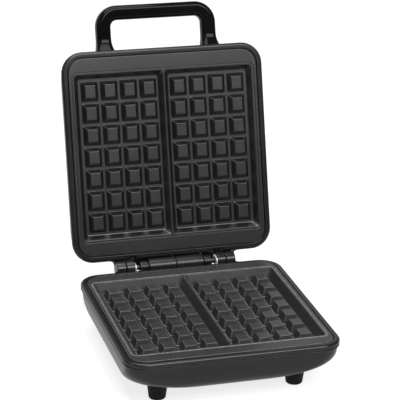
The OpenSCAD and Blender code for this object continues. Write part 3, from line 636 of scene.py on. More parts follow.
@dataclass(frozen=True)
class Finish:
    """A finish: its colours, its gloss and its surface."""

    name: str
    slot: str
    colour: Colour
    tint: Colour
    roughness: tuple[float, float]
    grain: Grain
    grain_bump: float = 0.0
    wave_bump: float = 0.0
    metallic: float = 0.0
    wear: float = 0.0
    # Colour of specks and worn edges, and of the painted highlights along edges.
    mark_and_highlight_colour: Colour = grey(0.3)
    specks: float = 0.0
    # Strength of the painted highlights in thin lines along edges.
    edges: float = 0.0
    transmission: float = 0.0
    ior: float = 1.5
    grain_share: float = 0.35
    wear_roughness: float = 0.5

    def build(self, effects: EffectLibrary) -> Material:
        """Builds the material.

        Args:
            effects: The shared shader effects.

        Returns:
            The new material.
        """
        material = bpy.data.materials.new(self.name)
        material.use_nodes = True
        sheet = NodeSheet(material.node_tree)
        shader = next(n for n in material.node_tree.nodes if n.type == "BSDF_PRINCIPLED")
        fine_effect = Effect.BRUSHING if self.grain is Grain.BRUSHED else Effect.GRAIN
        haze = sheet.add("ShaderNodeGroup", node_tree=effects.groups[Effect.HAZE])
        fine = sheet.add("ShaderNodeGroup", node_tree=effects.groups[fine_effect])
        fine.inputs["Scale"].default_value = self.grain.scale
        colour = sheet.mixed(haze.outputs["Mask"], self.colour, self.tint)
        rough = sheet.blend(haze.outputs["Mask"], fine.outputs["Mask"], self.grain_share)
        # Specks and worn edges are marks of the surface; the lines of the edge mask are painted highlights, mixed
        # into the base colour.
        for effect, strength in ((Effect.SPECKS, self.specks), (Effect.WEAR, self.wear),
                                 (Effect.EDGES, self.edges)):
            if strength <= 0:
                continue
            marks = sheet.add("ShaderNodeGroup", node_tree=effects.groups[effect])
            share = sheet.times(marks.outputs["Mask"], strength)
            colour = sheet.mixed(share, colour, self.mark_and_highlight_colour)
            if effect is Effect.WEAR:
                rough = sheet.math("ADD", rough, sheet.times(share, self.wear_roughness))
        for name, source in (
                ("Base Color", colour), ("Roughness", sheet.ramp(rough, 0, 1, *self.roughness)),
                ("Metallic", self.metallic), ("IOR", self.ior),
                ("Transmission Weight", self.transmission)):
            sheet.feed(source, shader.inputs[name])
        normal = shader.inputs["Normal"]
        for effect, distance in ((fine, self.grain_bump), (haze, self.wave_bump)):
            if distance > 0:
                bump = sheet.add("ShaderNodeBump", Distance=distance * MM, Strength=1.0,
                                 Height=effect.outputs["Height"])
                sheet.feed(bump.outputs["Normal"], normal)
                normal = bump.inputs["Normal"]
        return material


FINISHES: tuple[Finish, ...] = (
    Finish("housing plastic", "housing_gloss", (0.008, 0.008, 0.0095, 1),
           (0.013, 0.0125, 0.0145, 1), (0.12, 0.24), Grain.POLISHED, grain_bump=0.004,
           wave_bump=0.10, wear=0.25, mark_and_highlight_colour=grey(0.05), ior=1.42),
    Finish("trim plastic", "trim_gloss", (0.007, 0.007, 0.0075, 1), (0.011, 0.011, 0.0115, 1),
           (0.22, 0.30), Grain.POLISHED, grain_bump=0.004, wave_bump=0.03, wear=0.3,
           mark_and_highlight_colour=grey(0.05), ior=1.46),
    # Its thin light lines along edges are painted highlights, from the edge mask.
    Finish("handle plastic", "handle_gloss", (0.003, 0.003, 0.0035, 1), (0.006, 0.006, 0.0065, 1),
           (0.05, 0.11), Grain.POLISHED, grain_bump=0.003, wave_bump=0.04,
           mark_and_highlight_colour=grey(0.10), edges=0.5, ior=1.22),
    Finish("barrel plastic", "barrel_plastic", (0.006, 0.006, 0.0065, 1),
           (0.011, 0.011, 0.012, 1), (0.18, 0.30), Grain.POLISHED, grain_bump=0.004,
           wave_bump=0.04, wear=0.3, mark_and_highlight_colour=grey(0.05), ior=1.42),
    # The same coating as the upper plate, painted lighter here as painted light, with painted highlights in thin
    # lines along its edges.
    Finish("lower non-stick coating", "lower_nonstick", (0.034, 0.034, 0.035, 1),
           (0.046, 0.045, 0.046, 1), (0.20, 0.29), Grain.COATED, grain_bump=0.010,
           wave_bump=0.03, mark_and_highlight_colour=grey(0.50), specks=0.1, edges=1.0, ior=1.36),
    # The same coating painted darker, as painted shade on the knob sides, with faint painted highlights along its
    # edges.
    Finish("upper non-stick coating", "upper_nonstick", (0.006, 0.006, 0.0065, 1),
           (0.010, 0.0097, 0.0105, 1), (0.27, 0.35), Grain.COATED, grain_bump=0.010,
           wave_bump=0.03, mark_and_highlight_colour=grey(0.14), specks=0.2, edges=0.08, ior=1.66),
    Finish("heater steel", "heater_steel", grey(0.26, 0.04), grey(0.16, 0.10), (0.32, 0.55),
           Grain.BRUSHED, grain_bump=0.01, metallic=1.0, wear=0.2, mark_and_highlight_colour=grey(0.4)),
    Finish("zinc-plated steel", "zinc_steel", grey(0.50, 0.01), grey(0.38, 0.03), (0.25, 0.45),
           Grain.BRUSHED, grain_bump=0.008, metallic=1.0, wear=0.2, mark_and_highlight_colour=grey(0.6)),
    Finish("ceramic", "ceramic", grey(0.66, 0.06), grey(0.54, 0.09), (0.35, 0.55), Grain.CAST,
           grain_bump=0.01, wear=0.2, mark_and_highlight_colour=grey(0.45, 0.1)),
    Finish("shield aluminium", "shield_aluminium", grey(0.66), grey(0.54, 0.01), (0.28, 0.45),
           Grain.BRUSHED, grain_bump=0.006, metallic=1.0, wear=0.2, mark_and_highlight_colour=grey(0.75)),
    Finish("screw steel", "screw_steel", grey(0.44, 0.01), grey(0.32, 0.03), (0.25, 0.42),
           Grain.BRUSHED, grain_bump=0.004, metallic=1.0, wear=0.3, mark_and_highlight_colour=grey(0.6)),
    Finish("phenolic", "phenolic", (0.20, 0.13, 0.07, 1), (0.26, 0.18, 0.10, 1), (0.4, 0.6),
           Grain.CAST, grain_bump=0.01, wear=0.2, mark_and_highlight_colour=(0.35, 0.26, 0.16, 1)),
    Finish("fuse sleeve", "fuse_sleeve", grey(0.62, 0.02), grey(0.5, 0.05), (0.45, 0.65),
           Grain.MOULDED, grain_bump=0.01, wear=0.1, mark_and_highlight_colour=grey(0.4)),
    Finish("terminal plastic", "terminal_plastic", (0.70, 0.66, 0.56, 1), (0.60, 0.56, 0.46, 1),
           (0.35, 0.5), Grain.MOULDED, grain_bump=0.008, wear=0.2, mark_and_highlight_colour=grey(0.45)),
    Finish("lead sleeve", "lead_sleeve", (0.035, 0.034, 0.034, 1), (0.024, 0.023, 0.023, 1),
           (0.45, 0.65), Grain.MOULDED, grain_bump=0.01, wear=0.1, mark_and_highlight_colour=grey(0.1)),
    Finish("bush plastic", "bush_plastic", grey(0.014), grey(0.024), (0.35, 0.5),
           Grain.MOULDED, grain_bump=0.012, wear=0.3, mark_and_highlight_colour=grey(0.08)),
    Finish("foot plastic", "foot_plastic", grey(0.004), grey(0.007), (0.42, 0.6),
           Grain.MOULDED, grain_bump=0.014, wear=0.3, mark_and_highlight_colour=grey(0.03), ior=1.3),
    Finish("foot rubber", "foot_rubber", grey(0.012), grey(0.022), (0.65, 0.85), Grain.CAST,
           grain_bump=0.02, wear=0.3, mark_and_highlight_colour=grey(0.06)),
    # Dark as painted shade in the gap between collar and strap.
    Finish("blackened pin steel", "pin_steel", grey(0.035), grey(0.022), (0.26, 0.42),
           Grain.BRUSHED, grain_bump=0.003, metallic=1.0, wear=0.2, mark_and_highlight_colour=grey(0.12)),
    Finish("strap steel", "strap_steel", grey(0.78), grey(0.66, 0.01), (0.35, 0.5),
           Grain.BRUSHED, grain_bump=0.004, metallic=0.3, wear=0.2, mark_and_highlight_colour=grey(0.8)),
    Finish("red lens", "red_lens", (0.55, 0.02, 0.015, 1), (0.45, 0.015, 0.01, 1),
           (0.06, 0.14), Grain.POLISHED, grain_bump=0.002, wave_bump=0.02, transmission=0.35,
           ior=1.49),
    Finish("green lens", "green_lens", (0.03, 0.32, 0.08, 1), (0.02, 0.26, 0.06, 1),
           (0.06, 0.14), Grain.POLISHED, grain_bump=0.002, wave_bump=0.02, transmission=0.35,
           ior=1.49),
    Finish("lamp glass", "lamp_glass", grey(0.75, 0.05), grey(0.65, 0.08), (0.08, 0.2),
           Grain.POLISHED, wave_bump=0.02, transmission=0.5, ior=1.45),
)


class FinishShelf:
    """Builds each finish once and puts it on pieces."""

    def __init__(self) -> None:
        """Builds the shared effects and every finish."""
        effects = EffectLibrary()
        self.by_slot: dict[str, Material] = {f.slot: f.build(effects) for f in FINISHES}

    def dress(self, piece: Piece, slot: str) -> None:
        """Gives a new piece its finish.

        Args:
            piece: The piece.
            slot: The record's material slot.
        """
        piece.data.materials.clear()
        piece.data.materials.append(self.by_slot[slot])

    def dress_node(self, name: str) -> None:
        """Gives a CAD node that stays the finish that the record names for it.

        Args:
            name: Name of the node.
        """
        slot = next(p["material_slot"] for p in frame["record"]["subparts"] if p["node"] == name)
        node = frame["nodes"][name]
        if not node.material_slots:
            node.data.materials.append(self.by_slot[slot])
        for holder in node.material_slots:
            holder.material = self.by_slot[slot]


# ---- Sub-assemblies ----


@dataclass(frozen=True)
class Hinge:
    """The rear hinge: where its axis runs, and how far back the lid leans at rest."""

    y: float
    z: float
    open_degrees: float

    @classmethod
    def of_frame(cls) -> "Hinge":
        """Reads the hinge from the frame's joint."""
        joint = next(j for j in frame["joints"] if j["name"] == "lid_hinge")
        return cls(joint["pos_m"][1] / MM, joint["pos_m"][2] / MM, max(joint["range_deg"]))

    @property
    def point(self) -> Vector:
        """Gives the axis's point in the middle plane."""
        return Vector((0, self.y, self.z))

    def opened(self) -> Matrix:
        """Gives the move from the shut lid, in which its pieces are drawn, to the lid at rest."""
        turn = Matrix.Rotation(math.radians(-self.open_degrees), 4, "X")
        return Matrix.Translation(self.point) @ turn @ Matrix.Translation(-self.point)


@dataclass(frozen=True)
class Body:
    """Plan and heights that the base and the lid share, in millimetres."""

    half_w: float = 116.0
    half_d: float = 117.75
    corner_r: float = 24.0
    trim_w: float = 6.4
    trim_h: float = 7.4
    lid_trim_h: float = 4.2
    trim_edge_r: float = 2.8
    plate_gap: float = 0.8
    ledge_w: float = 2.6
    housing_inset: float = 2.0
    bowl_h: float = 39.3
    lid_bowl_h: float = 41.4
    bowl_power: float = 4.0
    corner_growth: float = 2.0
    corner_bend: float = 0.6
    corner_most: float = 0.98
    last_angle: float = 82.0
    shell_wall: float = 2.4
    seam_z: float = 59.0
    half_seam: float = 0.4
    plate_wall: float = 3.0

    def of_lid(self) -> "Body":
        """Gives the same body with the heights of the lid's trim and dome."""
        return replace(self, trim_h=self.lid_trim_h, bowl_h=self.lid_bowl_h)

    @property
    def base_top_z(self) -> float:
        """Gives the top of the base's trim."""
        return self.seam_z - self.half_seam

    @property
    def lid_low_z(self) -> float:
        """Gives the underside of the lid's trim, with the lid shut."""
        return self.seam_z + self.half_seam

    @property
    def bowl_top_z(self) -> float:
        """Gives the top of the base's bowl."""
        return self.base_top_z - self.trim_h

    @property
    def dome_low_z(self) -> float:
        """Gives the lower edge of the lid's dome, with the lid shut."""
        return self.lid_low_z + self.lid_trim_h


@dataclass(frozen=True)
class WafflePlate:
    """A cast plate with two trays of knobs, drawn with its top at height 0 and trays below."""

    body: Body
    depth: float
    slope: float
    knob_h: float
    flare: float
    tray_x: float = 102.7
    tray_y: float = 92.45
    tray_corner_r: float = 4.0
    least_corner_r: float = 2.0
    corner_taper: float = 0.15
    crest: float = 1.7
    lip_w: float = 1.8
    groove_w: float = 1.2
    groove_depth: float = 0.8
    groove_r: float = 0.3
    groove_draft: float = 0.1
    under_w: float = 3.0
    under_r: float = 1.0
    rim_r: float = 0.7
    knob_x: float = 11.3
    knob_y: float = 13.5
    first_column: float = 17.507
    column_pitch: float = 22.414
    row_pitch: float = 24.467
    columns: int = 4
    rows: int = 7
    knob_edge_r: float = 0.6
    knob_foot_r: float = 0.9
    knob_corner_r: float = 0.6
    knob_least_r: float = 0.4
    knob_taper: float = 0.12
    wall_foot_r: float = 1.8
    mouth_r: float = 0.7
    run: float = 4.0
    sink: float = 0.1
    steps: int = 6

    def _tray(self, draft: Draft, side: int) -> None:
        """Adds one tray, from the middle of the divider to its floor.

        Args:
            draft: The plate so far.
            side: -1 for the left tray, 1 for the right one.
        """
        reach, lip_r = self.tray_x + self.lip_w, self.tray_corner_r + self.lip_w
        half = (self.tray_x - self.crest / 2) / 2
        middle = side * (self.crest / 2 + half)
        wall = rounded_path(
            [(self.run, 0), (0, 0), (-self.slope, -self.depth),
             (-self.slope - self.run, -self.depth)],
            [0, self.mouth_r, self.wall_foot_r, 0], 4)
        rings = [plan_ring(reach / 2, self.tray_y + self.lip_w, lip_r, 0, side * reach / 2,
                           steps=self.steps, square_side=-side)]
        for grow, z in wall[1:-1]:
            corner = max(self.tray_corner_r + min(grow, 0) * self.corner_taper,
                         self.least_corner_r)
            rings.append(plan_ring(half + grow, self.tray_y + grow, corner, z, middle,
                                   steps=self.steps))
        draft.loft(rings, cap_last=True)

    def _frame(self, draft: Draft) -> None:
        """Adds the flat margin with its groove, the outer edge and the closed underside.

        Args:
            draft: The plate so far.
        """
        b, inner, outer = self.body, self.lip_w, self.lip_w + self.groove_w
        margin = b.trim_w + b.plate_gap
        edge_x, edge_y, edge_r = b.half_w - margin, b.half_d - margin, b.corner_r - margin
        under_x = self.tray_x + self.under_w
        rings = []
        for x, z in rounded_path([(under_x - self.slope, -self.depth - b.plate_wall),
                                  (under_x, -b.plate_wall), (edge_x, -b.plate_wall)],
                                 [0, self.under_r, 0], 3):
            at_edge = x >= edge_x
            rings.append(plan_ring(x, edge_y if at_edge else self.tray_y + x - self.tray_x,
                                   edge_r if at_edge else self.tray_corner_r + self.under_w, z,
                                   steps=self.steps))
        for inset, z in rounded_path([(0, -b.plate_wall), (0, 0), (self.run, 0)],
                                     [0, self.rim_r, 0], 4)[1:-1]:
            rings.append(plan_ring(edge_x - inset, edge_y - inset, edge_r - inset, z,
                                   steps=self.steps))
        groove = [(outer + 1, 0), (outer, 0), (outer - self.groove_draft, -self.groove_depth),
                  (inner + self.groove_draft, -self.groove_depth), (inner, 0), (inner - 1, 0)]
        for grow, z in rounded_path(groove, [0, *[self.groove_r] * 4, 0], 3)[1:-1]:
            rings.append(plan_ring(self.tray_x + grow, self.tray_y + grow,
                                   self.tray_corner_r + grow, z, steps=self.steps))
        draft.loft(rings, cap_first=True)

    def _knob(self, draft: Draft, x: float, y: float) -> None:
        """Adds one knob with a soft foot and a soft upper edge.

        Args:
            draft: The plate so far.
            x: X of the knob's middle.
            y: Y of the knob's middle.
        """
        profile = rounded_path(
            [(self.flare + self.knob_foot_r + 0.6, -self.sink), (self.flare, 0.01),
             (0, self.knob_h), (-self.run, self.knob_h)],
            [0, self.knob_foot_r, self.knob_edge_r, 0], 4)
        rings = [plan_ring(self.knob_x / 2 + grow, self.knob_y / 2 + grow,
                           max(self.knob_corner_r + grow * self.knob_taper, self.knob_least_r),
                           z - self.depth, x, y, steps=3)
                 for grow, z in profile[:-1]]
        draft.loft(rings, cap_last=True)

    def build(self, draft: Draft) -> Piece:
        """Builds the plate.

        Args:
            draft: The empty draft of the plate.

        Returns:
            The plate.
        """
        self._frame(draft)
        for side in SIDES:
            self._tray(draft, side)
            for i in range(self.columns):
                for j in range(self.rows):
                    self._knob(draft, side * (self.first_column + i * self.column_pitch),
                               (j - (self.rows - 1) / 2) * self.row_pitch)
        return draft.piece()


@dataclass(frozen=True)
class Shell:
    """A bowl that goes down from height 0, with a rounded square section and a flat end."""

    body: Body
    layers: int = 30
    inner_layers: int = 10
    crowding: float = 1.5
    steps: int = 14

    def _ring(self, share: float, inset: float) -> Ring:
        """Makes one layer.

        Args:
            share: How far down the layer is, from 0 at the rim to 1 at the flat end.
            inset: How far inside the outer surface it is.

        Returns:
            The ring.
        """
        b = self.body
        half_x = b.half_w - b.housing_inset - inset
        half_y = b.half_d - b.housing_inset - inset
        corner = (b.corner_r - b.housing_inset - inset) / half_x
        angle = math.radians(b.last_angle * share)
        k = math.cos(angle) ** (2 / b.bowl_power)
        drop = (b.bowl_h - inset) * math.sin(angle) ** (2 / b.bowl_power)
        rounding = corner + (b.corner_growth - corner) * (1 - k) ** b.corner_bend
        return plan_ring(half_x * k, half_y * k, half_x * k * min(rounding, b.corner_most),
                         -drop, steps=self.steps)

    def build(self, draft: Draft) -> Piece:
        """Builds the hollow bowl, with its outside, its inside and its rim.

        Args:
            draft: The empty draft of the bowl.

        Returns:
            The bowl.
        """
        outer = [self._ring((i / self.layers) ** self.crowding, 0)
                 for i in range(self.layers + 1)]
        inner = [self._ring(i / self.inner_layers, self.body.shell_wall)
                 for i in range(self.inner_layers + 1)]
        return draft.loft(inner[::-1] + outer, True, True, flip=True).piece()


@dataclass(frozen=True)
class TrimRing:
    """The ring round a plate, drawn with its seam face at height 0 and the rest below."""

    body: Body
    notch: tuple[float, float] | None = None
    notch_depth: float = 4.6
    notch_run: float = 2.2
    notch_steps: int = 8
    lip_h: float = 0.0
    lip_groove: float = 0.8
    steps: int = 12

    def _profile(self) -> Outline:
        """Makes the section.

        Returns:
            Distance outward from the outline and height of each point.
        """
        b = self.body
        inner = -b.trim_w - b.plate_gap - b.ledge_w
        points = [(0, 0), (-b.trim_w, 0), (-b.trim_w, -b.plate_wall), (inner, -b.plate_wall),
                  (inner, -b.trim_h), (0, -b.trim_h)]
        radii = [b.trim_edge_r, 0.6, 0.2, 0.1, 0.1, 0.5]
        if self.lip_h > 0:
            low, high = self.lip_h - b.trim_h, self.lip_h + self.lip_groove - b.trim_h
            points += [(0, low), (-self.lip_groove, low), (-self.lip_groove, high), (0, high)]
            radii += [0.3, 0.15, 0.15, 0.3]
        return rounded_loop(points, radii, 6)

    def _ring(self, grow: float, z: float) -> Ring:
        """Makes the ring of one point of the section, with the notches in its rear run.

        Args:
            grow: Distance outward from the outline.
            z: Its height.

        Returns:
            The ring.
        """
        b = self.body
        ring = plan_ring(b.half_w + grow, b.half_d + grow, b.corner_r + grow, z,
                         steps=self.steps)
        if self.notch is None:
            return ring
        (first, last), rear_y = self.notch, b.half_d + grow
        reach = min(rear_y, b.half_d - self.notch_depth)
        flank = [(first, rear_y)]
        for k in range(1, self.notch_steps + 1):
            share = k / self.notch_steps
            rise = math.sqrt(1 - (1 - share) ** 2)
            flank.append((first + self.notch_run * share, rear_y + (reach - rear_y) * rise))
        flank += [(last - SQUARE_R, reach), (last, rear_y)]
        marks = [Vector((x, y, z)) for x, y in reversed(flank)]
        marks += [Vector((-x, y, z)) for x, y in flank]
        corner = self.steps + 1
        return ring[:corner] + marks + ring[corner:]

    def build(self, draft: Draft) -> Piece:
        """Builds the trim in its empty draft."""
        return draft.loft([self._ring(*point) for point in self._profile()], wrap=True).piece()


@dataclass(frozen=True)
class HingeParts:
    """Barrel halves, collars, towers and knuckles on the hinge axis."""

    body: Body
    hinge: Hinge
    barrel_r: float = 8.8
    barrel_len: float = 31.6
    side_gap: float = 0.4
    neck_r: float = 5.6
    neck_len: float = 1.2
    collar_r: float = 7.0
    collar_len: float = 8.6
    collar_edge_r: float = 0.8
    band_depth: float = 0.45
    band_w: float = 0.5
    band_floor_w: float = 0.35
    band_edge_r: float = 0.15
    pin_r: float = 3.1
    tower: tuple[float, float] = (48.0, 57.8)
    knuckle: tuple[float, float] = (58.2, 69.0)
    prong_start: tuple[float, float] = (-102.0, 180.0)
    prong_sweep: float = 282.0
    root_y: float = 111.75
    root_h: float = 16.0
    saddle_rise: float = 2.0
    web_r: float = 5.0
    edge_r: float = 0.9
    heel_edge_r: float = 0.6
    saddle_edge_r: float = 1.2
    cover_edge_r: float = 0.8
    stop_gap: float = 0.3
    heel_gap: float = 0.8
    heel_h: float = 5.0
    cover_gap: float = 0.5
    cover_lower: float = 1.2
    cover_low: float = 6.0
    cover_t: float = 4.7
    cover_chamfer: float = 1.5
    cover_right_x: float = 33.0

    def _draft(self, name: str, on: BodyName, sharp_degrees: float = USUAL_SHARP) -> Draft:
        """Starts a piece on one of the bodies; what is on the lid is opened with it."""
        placement = self.hinge.opened() if on is BodyName.LID else Matrix.Identity(4)
        return Draft(name, on, placement, sharp_degrees)

    def _block(self, name: str, on: BodyName, outline: Outline, span: tuple[float, float],
               edge_r: float, segments: int = 3, degrees: float = 40.0) -> Piece:
        """Builds an extruded piece with rounded edges.

        Args:
            name: Name of the piece.
            on: The body that it rides on.
            outline: Closed outline as Y and Z, anticlockwise seen from +X.
            span: Where it starts and ends along X.
            edge_r: Width of the rounding of its edges, or 0 for none.
            segments: Segments across the rounding.
            degrees: Edges that bend more than this are rounded.

        Returns:
            The piece.
        """
        piece = self._draft(name, on).prism(outline, span).piece()
        if edge_r > 0:
            round_sharp_edges(piece, edge_r, segments, degrees)
        return piece

    def _trim_z(self, on: BodyName) -> float:
        """Gives the height at which a body's trim meets its housing, with the lid shut."""
        return self.body.bowl_top_z if on is BodyName.BASE else self.body.dome_low_z

    def _at_axis(self, outline: Outline) -> Outline:
        """Moves an outline of Y and Z from the origin to the hinge axis."""
        return [(self.hinge.y + y, self.hinge.z + z) for y, z in outline]

    def prong(self, on: BodyName, side: int) -> Piece:
        """Builds a tower of the base or a knuckle of the lid.

        Args:
            on: The body that it belongs to.
            side: -1 for the left one, 1 for the right one.

        Returns:
            The piece.
        """
        r, trim, root = self.barrel_r, self._trim_z(on), self.root_y
        start = self.prong_start[on is BodyName.LID]
        arc = self._at_axis([(r * math.cos(a), r * math.sin(a))
                             for a in arc_angles(40, start, self.prong_sweep)])
        flank = (self.hinge.y - r, trim)
        if on is BodyName.BASE:
            outline = [(root, trim - self.root_h), *arc, flank, (root, trim)]
        else:
            outline = [*arc, (root, trim + self.root_h), (root, trim), flank]
        name, span = (("hinge_tower", self.tower) if on is BodyName.BASE
                      else ("lid_knuckle", self.knuckle))
        return self._block(name, on, outline, side_span(*span, side), self.edge_r, 4, 50)

    def heel(self, side: int) -> Piece:
        """Builds a heel, on which the open lid stands against the base.

        Args:
            side: -1 for the left one, 1 for the right one.

        Returns:
            The piece.
        """
        behind = self.hinge.y - self.body.half_d
        reach = behind + self.body.housing_inset - self.stop_gap
        top = self.body.bowl_top_z - self.hinge.z - self.heel_gap
        low, neck, high = top - self.heel_h, self.heel_gap - behind, -self.barrel_r / 2
        flat = [(-reach, low), (high, low), (0, high), (neck, high), (neck, top), (-reach, top)]
        turn = math.radians(self.hinge.open_degrees)
        c, s = math.cos(turn), math.sin(turn)
        outline = self._at_axis([(y * c - z * s, y * s + z * c) for y, z in flat])
        return self._block("stop_heel", BodyName.LID, outline, side_span(*self.knuckle, side),
                           self.heel_edge_r)

    def saddle(self, on: BodyName) -> Piece:
        """Builds the saddle that joins a barrel half to its housing.

        Args:
            on: The body that it belongs to.

        Returns:
            The piece.
        """
        y, up, trim = self.hinge.y - 1, on.up, self._trim_z(on)
        root = self.root_h / (4 if on is BodyName.BASE else 2)
        tip = (y, self.hinge.z + up * (self.barrel_r + self.saddle_rise))
        outline = [(self.root_y, trim + up * root), tip, (y, trim + up), (self.root_y, trim)]
        near = self.side_gap / 2
        return self._block("barrel_saddle", on, outline[::-up],
                           side_span(near, near + self.barrel_len, up),
                           self.saddle_edge_r, 4)

    def covers(self) -> list[Piece]:
        """Builds the two runs of the cover that stands behind the barrel and the collars.

        Returns:
            The pieces.
        """
        front, top = self.barrel_r + self.cover_gap, self.barrel_r - self.cover_lower
        back = front + self.cover_t
        outline = self._at_axis([(front, -self.cover_low), (back, -self.cover_low),
                                 (back, top / 2), (back - self.cover_chamfer, top),
                                 (front, top)])
        spans = ((-self.tower[1], -self.side_gap), (self.cover_right_x, self.tower[1]))
        return [self._block("hinge_cover", BodyName.BASE, outline, span, self.cover_edge_r)
                for span in spans]

    def cover_end(self, side: int) -> Piece:
        """Builds the block that joins the cover to a tower.

        Args:
            side: -1 for the left one, 1 for the right one.

        Returns:
            The piece.
        """
        top, back = self.barrel_r - self.cover_lower, self.barrel_r + self.cover_gap + 1
        outline = self._at_axis([(0, -self.cover_low), (back, -self.cover_low), (back, top),
                                 (0, top)])
        span = side_span(self.tower[0] + self.side_gap, self.tower[1] - self.side_gap, side)
        return self._block("hinge_cover_end", BodyName.BASE, outline, span, 0)

    def barrel(self, on: BodyName) -> Piece:
        """Builds one half of the barrel with its neck: the base's on the left, the lid's right.

        Args:
            on: The body that it rides on.

        Returns:
            The piece.
        """
        near, far = self.side_gap / 2, self.side_gap / 2 + self.barrel_len
        end = far + self.neck_len
        profile = rounded_path(
            [(0, near), (self.barrel_r, near), (self.barrel_r, far), (self.neck_r, far),
             (self.neck_r, end), (0, end)],
            [0, 0.7, 1.0, 0.3, 0.1, 0])
        draft = self._draft(f"barrel_{on.value}_half", on, TURNED_SHARP)
        return draft.lathe(profile, self.hinge.point, Vector((on.up, 0, 0)), 64).piece()

    def collar(self, on: BodyName) -> Piece:
        """Builds a collar with shallow bands: the base's on the left, the lid's on the right.

        Args:
            on: The body that it rides on.

        Returns:
            The piece.
        """
        near = self.side_gap / 2 + self.barrel_len + self.neck_len
        far, r, low = near + self.collar_len, self.collar_r, self.collar_r - self.band_depth
        points: Outline = [(0, near), (r, near)]
        radii = [0.0, self.collar_edge_r]
        for middle in (near + self.collar_len / 3, near + self.collar_len / 3 * 2):
            points += [(r, middle - self.band_w), (low, middle - self.band_floor_w),
                       (low, middle + self.band_floor_w), (r, middle + self.band_w)]
            radii += [self.band_edge_r] * 4
        points += [(r, far), (self.pin_r, far), (self.pin_r, far - 1.2), (0, far - 1.2)]
        radii += [self.collar_edge_r, 0.2, 0.1, 0]
        draft = self._draft(f"collar_{SIDES[on.up]}", on, TURNED_SHARP)
        draft.lathe(rounded_path(points, radii, 4), self.hinge.point, Vector((on.up, 0, 0)), 56)
        return draft.piece()

    def web(self, on: BodyName, side: int) -> Piece:
        """Builds the concave web between a trim's rear edge and the outer side of a knuckle.

        Args:
            on: The body whose trim it belongs to.
            side: -1 for the left one, 1 for the right one.

        Returns:
            The piece.
        """
        b, x0, y0, r = self.body, self.knuckle[1] + self.side_gap, self.body.half_d, self.web_r
        heights = ((b.bowl_top_z, b.base_top_z - 1) if on is BodyName.BASE
                   else (b.lid_low_z + 1, b.dome_low_z))
        arc = [(x0 + r - r * math.cos(a), y0 + r - r * math.sin(a)) for a in arc_angles(10)]
        outline = [(x0, y0 - 2), (x0 + r, y0 - 2), *reversed(arc)]
        rings = [[Vector((side * x, y, z)) for x, y in outline] for z in heights]
        return self._draft("knuckle_web", on).loft(rings, True, True, flip=side < 0).piece()


@dataclass(frozen=True)
class Handle:
    """The U-shaped handle in two halves, drawn with the lid shut."""

    body: Body
    width: float = 138.5
    reach: float = 49.5
    bar: float = 16.4
    thickness: float = 16.0
    corner_r: float = 24.0
    edge_r: float = 5.0
    seam_edge_r: float = 0.5
    middle_z: float = 84.0
    seam: float = 0.4
    inside: float = 16.0
    lead: float = 4.0
    root_len: float = 13.0
    root_power: float = 2.2
    root_drop: float = 6.0
    root_rise: float = 1.5
    root_side: float = 1.8
    crest_side_share: float = 0.4

    def _path(self) -> list[tuple[Vector, Vector, float]]:
        """Makes the line of the bar's middle.

        Returns:
            Each station's point, its outward direction, and how far it lies in the root.
        """
        b, leg_x, bend = self.body, (self.width - self.bar) / 2, self.corner_r - self.bar / 2
        front_y = -b.half_d - self.reach + self.bar / 2
        seat_y, root_y = -b.half_d + self.lead, -b.half_d - self.root_len
        ys = [-b.half_d + b.housing_inset + self.inside]
        ys += [seat_y - (self.root_len + self.lead) * k / 12 for k in range(13)]
        ys += [root_y - 6, front_y + bend + self.lead, front_y + bend]
        stations = [(Vector((-leg_x, y, 0)), Vector((-1, 0, 0)),
                     min(max((y - root_y) / self.root_len, 0.0), 1.0)) for y in ys]
        for a in arc_angles(14, 180)[1:]:
            spoke = Vector((math.cos(a), math.sin(a), 0))
            middle = Vector((-leg_x + bend, front_y + bend, 0))
            stations.append((middle + spoke * bend, spoke, 0.0))
        half = [(Vector((0, front_y, 0)), Vector((0, -1, 0)), 0.0)]
        other = [(Vector((-p.x, p.y, 0)), Vector((-d.x, d.y, 0)), share)
                 for p, d, share in reversed(stations)]
        return stations + half + other

    def _section(self, up: int, share: float) -> Outline:
        """Makes half of the bar's section.

        Args:
            up: -1 for the seam side, 1 for the other side.
            share: How far the section lies in the leg's root.

        Returns:
            Closed outline as distance outward and height above the handle's middle.
        """
        flare = share ** self.root_power
        half = self.bar / 2 + self.root_side * flare * (1 if up < 0 else self.crest_side_share)
        high = self.thickness / 2 + flare * (self.root_drop if up < 0 else self.root_rise)
        low, r, seam_r = self.seam / 2, self.edge_r, self.seam_edge_r
        loop = rounded_loop([(half, low), (half, high), (-half, high), (-half, low)],
                            [seam_r, r, r, seam_r], 7)
        return [(x, up * z) for x, z in loop]

    def build(self, draft: Draft, up: int) -> Piece:
        """Builds one half of the handle.

        Args:
            draft: The empty draft of the half.
            up: -1 for the seam side, 1 for the other side.

        Returns:
            The half.
        """
        rings = [[point + outward * x + UPWARD * (self.middle_z + z)
                  for x, z in self._section(up, share)]
                 for point, outward, share in self._path()]
        return draft.loft(rings, True, True, flip=up < 0).piece()


